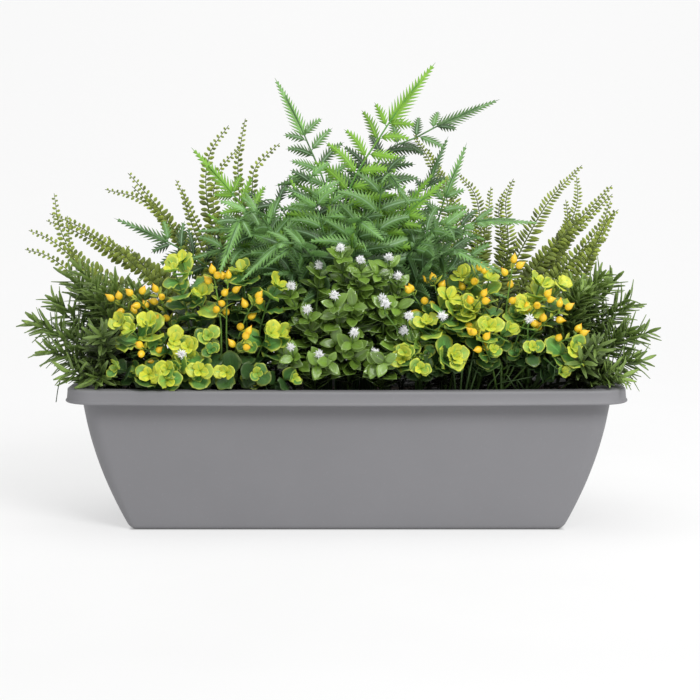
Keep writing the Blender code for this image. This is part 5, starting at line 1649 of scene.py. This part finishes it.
class PLANTER_OT_box_leaf(bpy.types.Operator):
    """Builds the picks with glossy leaves and white flower heads in the middle."""
    bl_idname = "planter.box_leaf"
    bl_label = "Box leaves and flowers"

    def execute(self, context):
        tone = chosen_colour("box_leaf")
        materials = [leaf_material("box_leaf", shade(tone, 2.1, 0.1), shade(tone, 0.45),
                                   shade(tone, 2.5, 0.12), shade(tone, 1.8), shade(tone, 1.1), edge_from=0.84,
                                   roughness=0.2, veins=6.0, specular=1.0),
                     stem_material("box_stem", shade(tone, 1.2), shade(tone, 0.6)),
                     flower_material(chosen_colour("flower"))]
        for place, *entry in BOX_PICKS:
            build_box_pick("box_pick_" + place, entry, materials)
        return {"FINISHED"}


class PLANTER_OT_ground(bpy.types.Operator):
    """Finishes the filling with soil crumbs and lays the moss."""
    bl_idname = "planter.ground"
    bl_label = "Soil and moss"

    def execute(self, context):
        soil = soil_material(chosen_colour("soil"))
        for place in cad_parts["foam_fill"].material_slots:
            place.material = soil
        height = fill_surface()
        build_soil(height, soil)
        tone = chosen_colour("moss")
        fibres = fibre_material("moss_fibres", shade(tone, 0.7), shade(tone, 2.2))
        for entry in MOSS:
            build_moss(entry, height, fibres)
        green = chosen_colour("round_leaf")
        build_loose_stems(stem_material("loose_stem", shade(green, 0.6, 0.3), shade(green, 0.25, 0.2)))
        return {"FINISHED"}


class PLANTER_OT_stage(bpy.types.Operator):
    """Sets the floor, the lights, the world and the camera."""
    bl_idname = "planter.stage"
    bl_label = "Stage"

    def execute(self, context):
        build_sweep()
        add_world()
        add_light("key_light", (1.2, -2.0, 2.0), (0.0, 0.0, 0.2), (1.2, 1.1), 50.0)
        add_light("top_light", (-0.2, -0.2, 2.6), (0.0, 0.1, 0.2), (2.6, 1.8), 20.0)
        add_camera()
        context.scene.view_settings.view_transform = "Standard"
        return {"FINISHED"}


class PLANTER_PT_panel(bpy.types.Panel):
    """Lists the sizes, the colours and the pieces."""
    bl_idname = "PLANTER_PT_panel"
    bl_label = "Mixed flower planter"
    bl_space_type = "VIEW_3D"
    bl_region_type = "UI"
    bl_category = "Planter"

    def draw(self, context):
        layout = self.layout
        for group in (context.scene.planter_sizes, context.scene.planter_colours):
            box = layout.box()
            for key in group.__annotations__:
                box.prop(group, key)
        for operator in OPERATORS:
            layout.operator(operator.bl_idname)


OPERATORS = (PLANTER_OT_trough, PLANTER_OT_ground, PLANTER_OT_centre_fern, PLANTER_OT_sword_fern,
             PLANTER_OT_narrow_leaf, PLANTER_OT_round_leaf, PLANTER_OT_fruit, PLANTER_OT_box_leaf,
             PLANTER_OT_stage)
CLASSES = (PlanterSizes, PlanterColours) + OPERATORS + (PLANTER_PT_panel,)


def register():
    for cls in CLASSES:
        bpy.utils.register_class(cls)
    bpy.types.Scene.planter_sizes = bpy.props.PointerProperty(type=PlanterSizes)
    bpy.types.Scene.planter_colours = bpy.props.PointerProperty(type=PlanterColours)


def unregister():
    del bpy.types.Scene.planter_colours
    del bpy.types.Scene.planter_sizes
    for cls in reversed(CLASSES):
        bpy.utils.unregister_class(cls)


def main():
    register()
    bpy.ops.planter.trough()
    bpy.ops.planter.ground()
    bpy.ops.planter.centre_fern()
    bpy.ops.planter.sword_fern()
    bpy.ops.planter.narrow_leaf()
    bpy.ops.planter.round_leaf()
    bpy.ops.planter.fruit()
    bpy.ops.planter.box_leaf()
    bpy.ops.planter.stage()


if __name__ == "__main__":
    main()
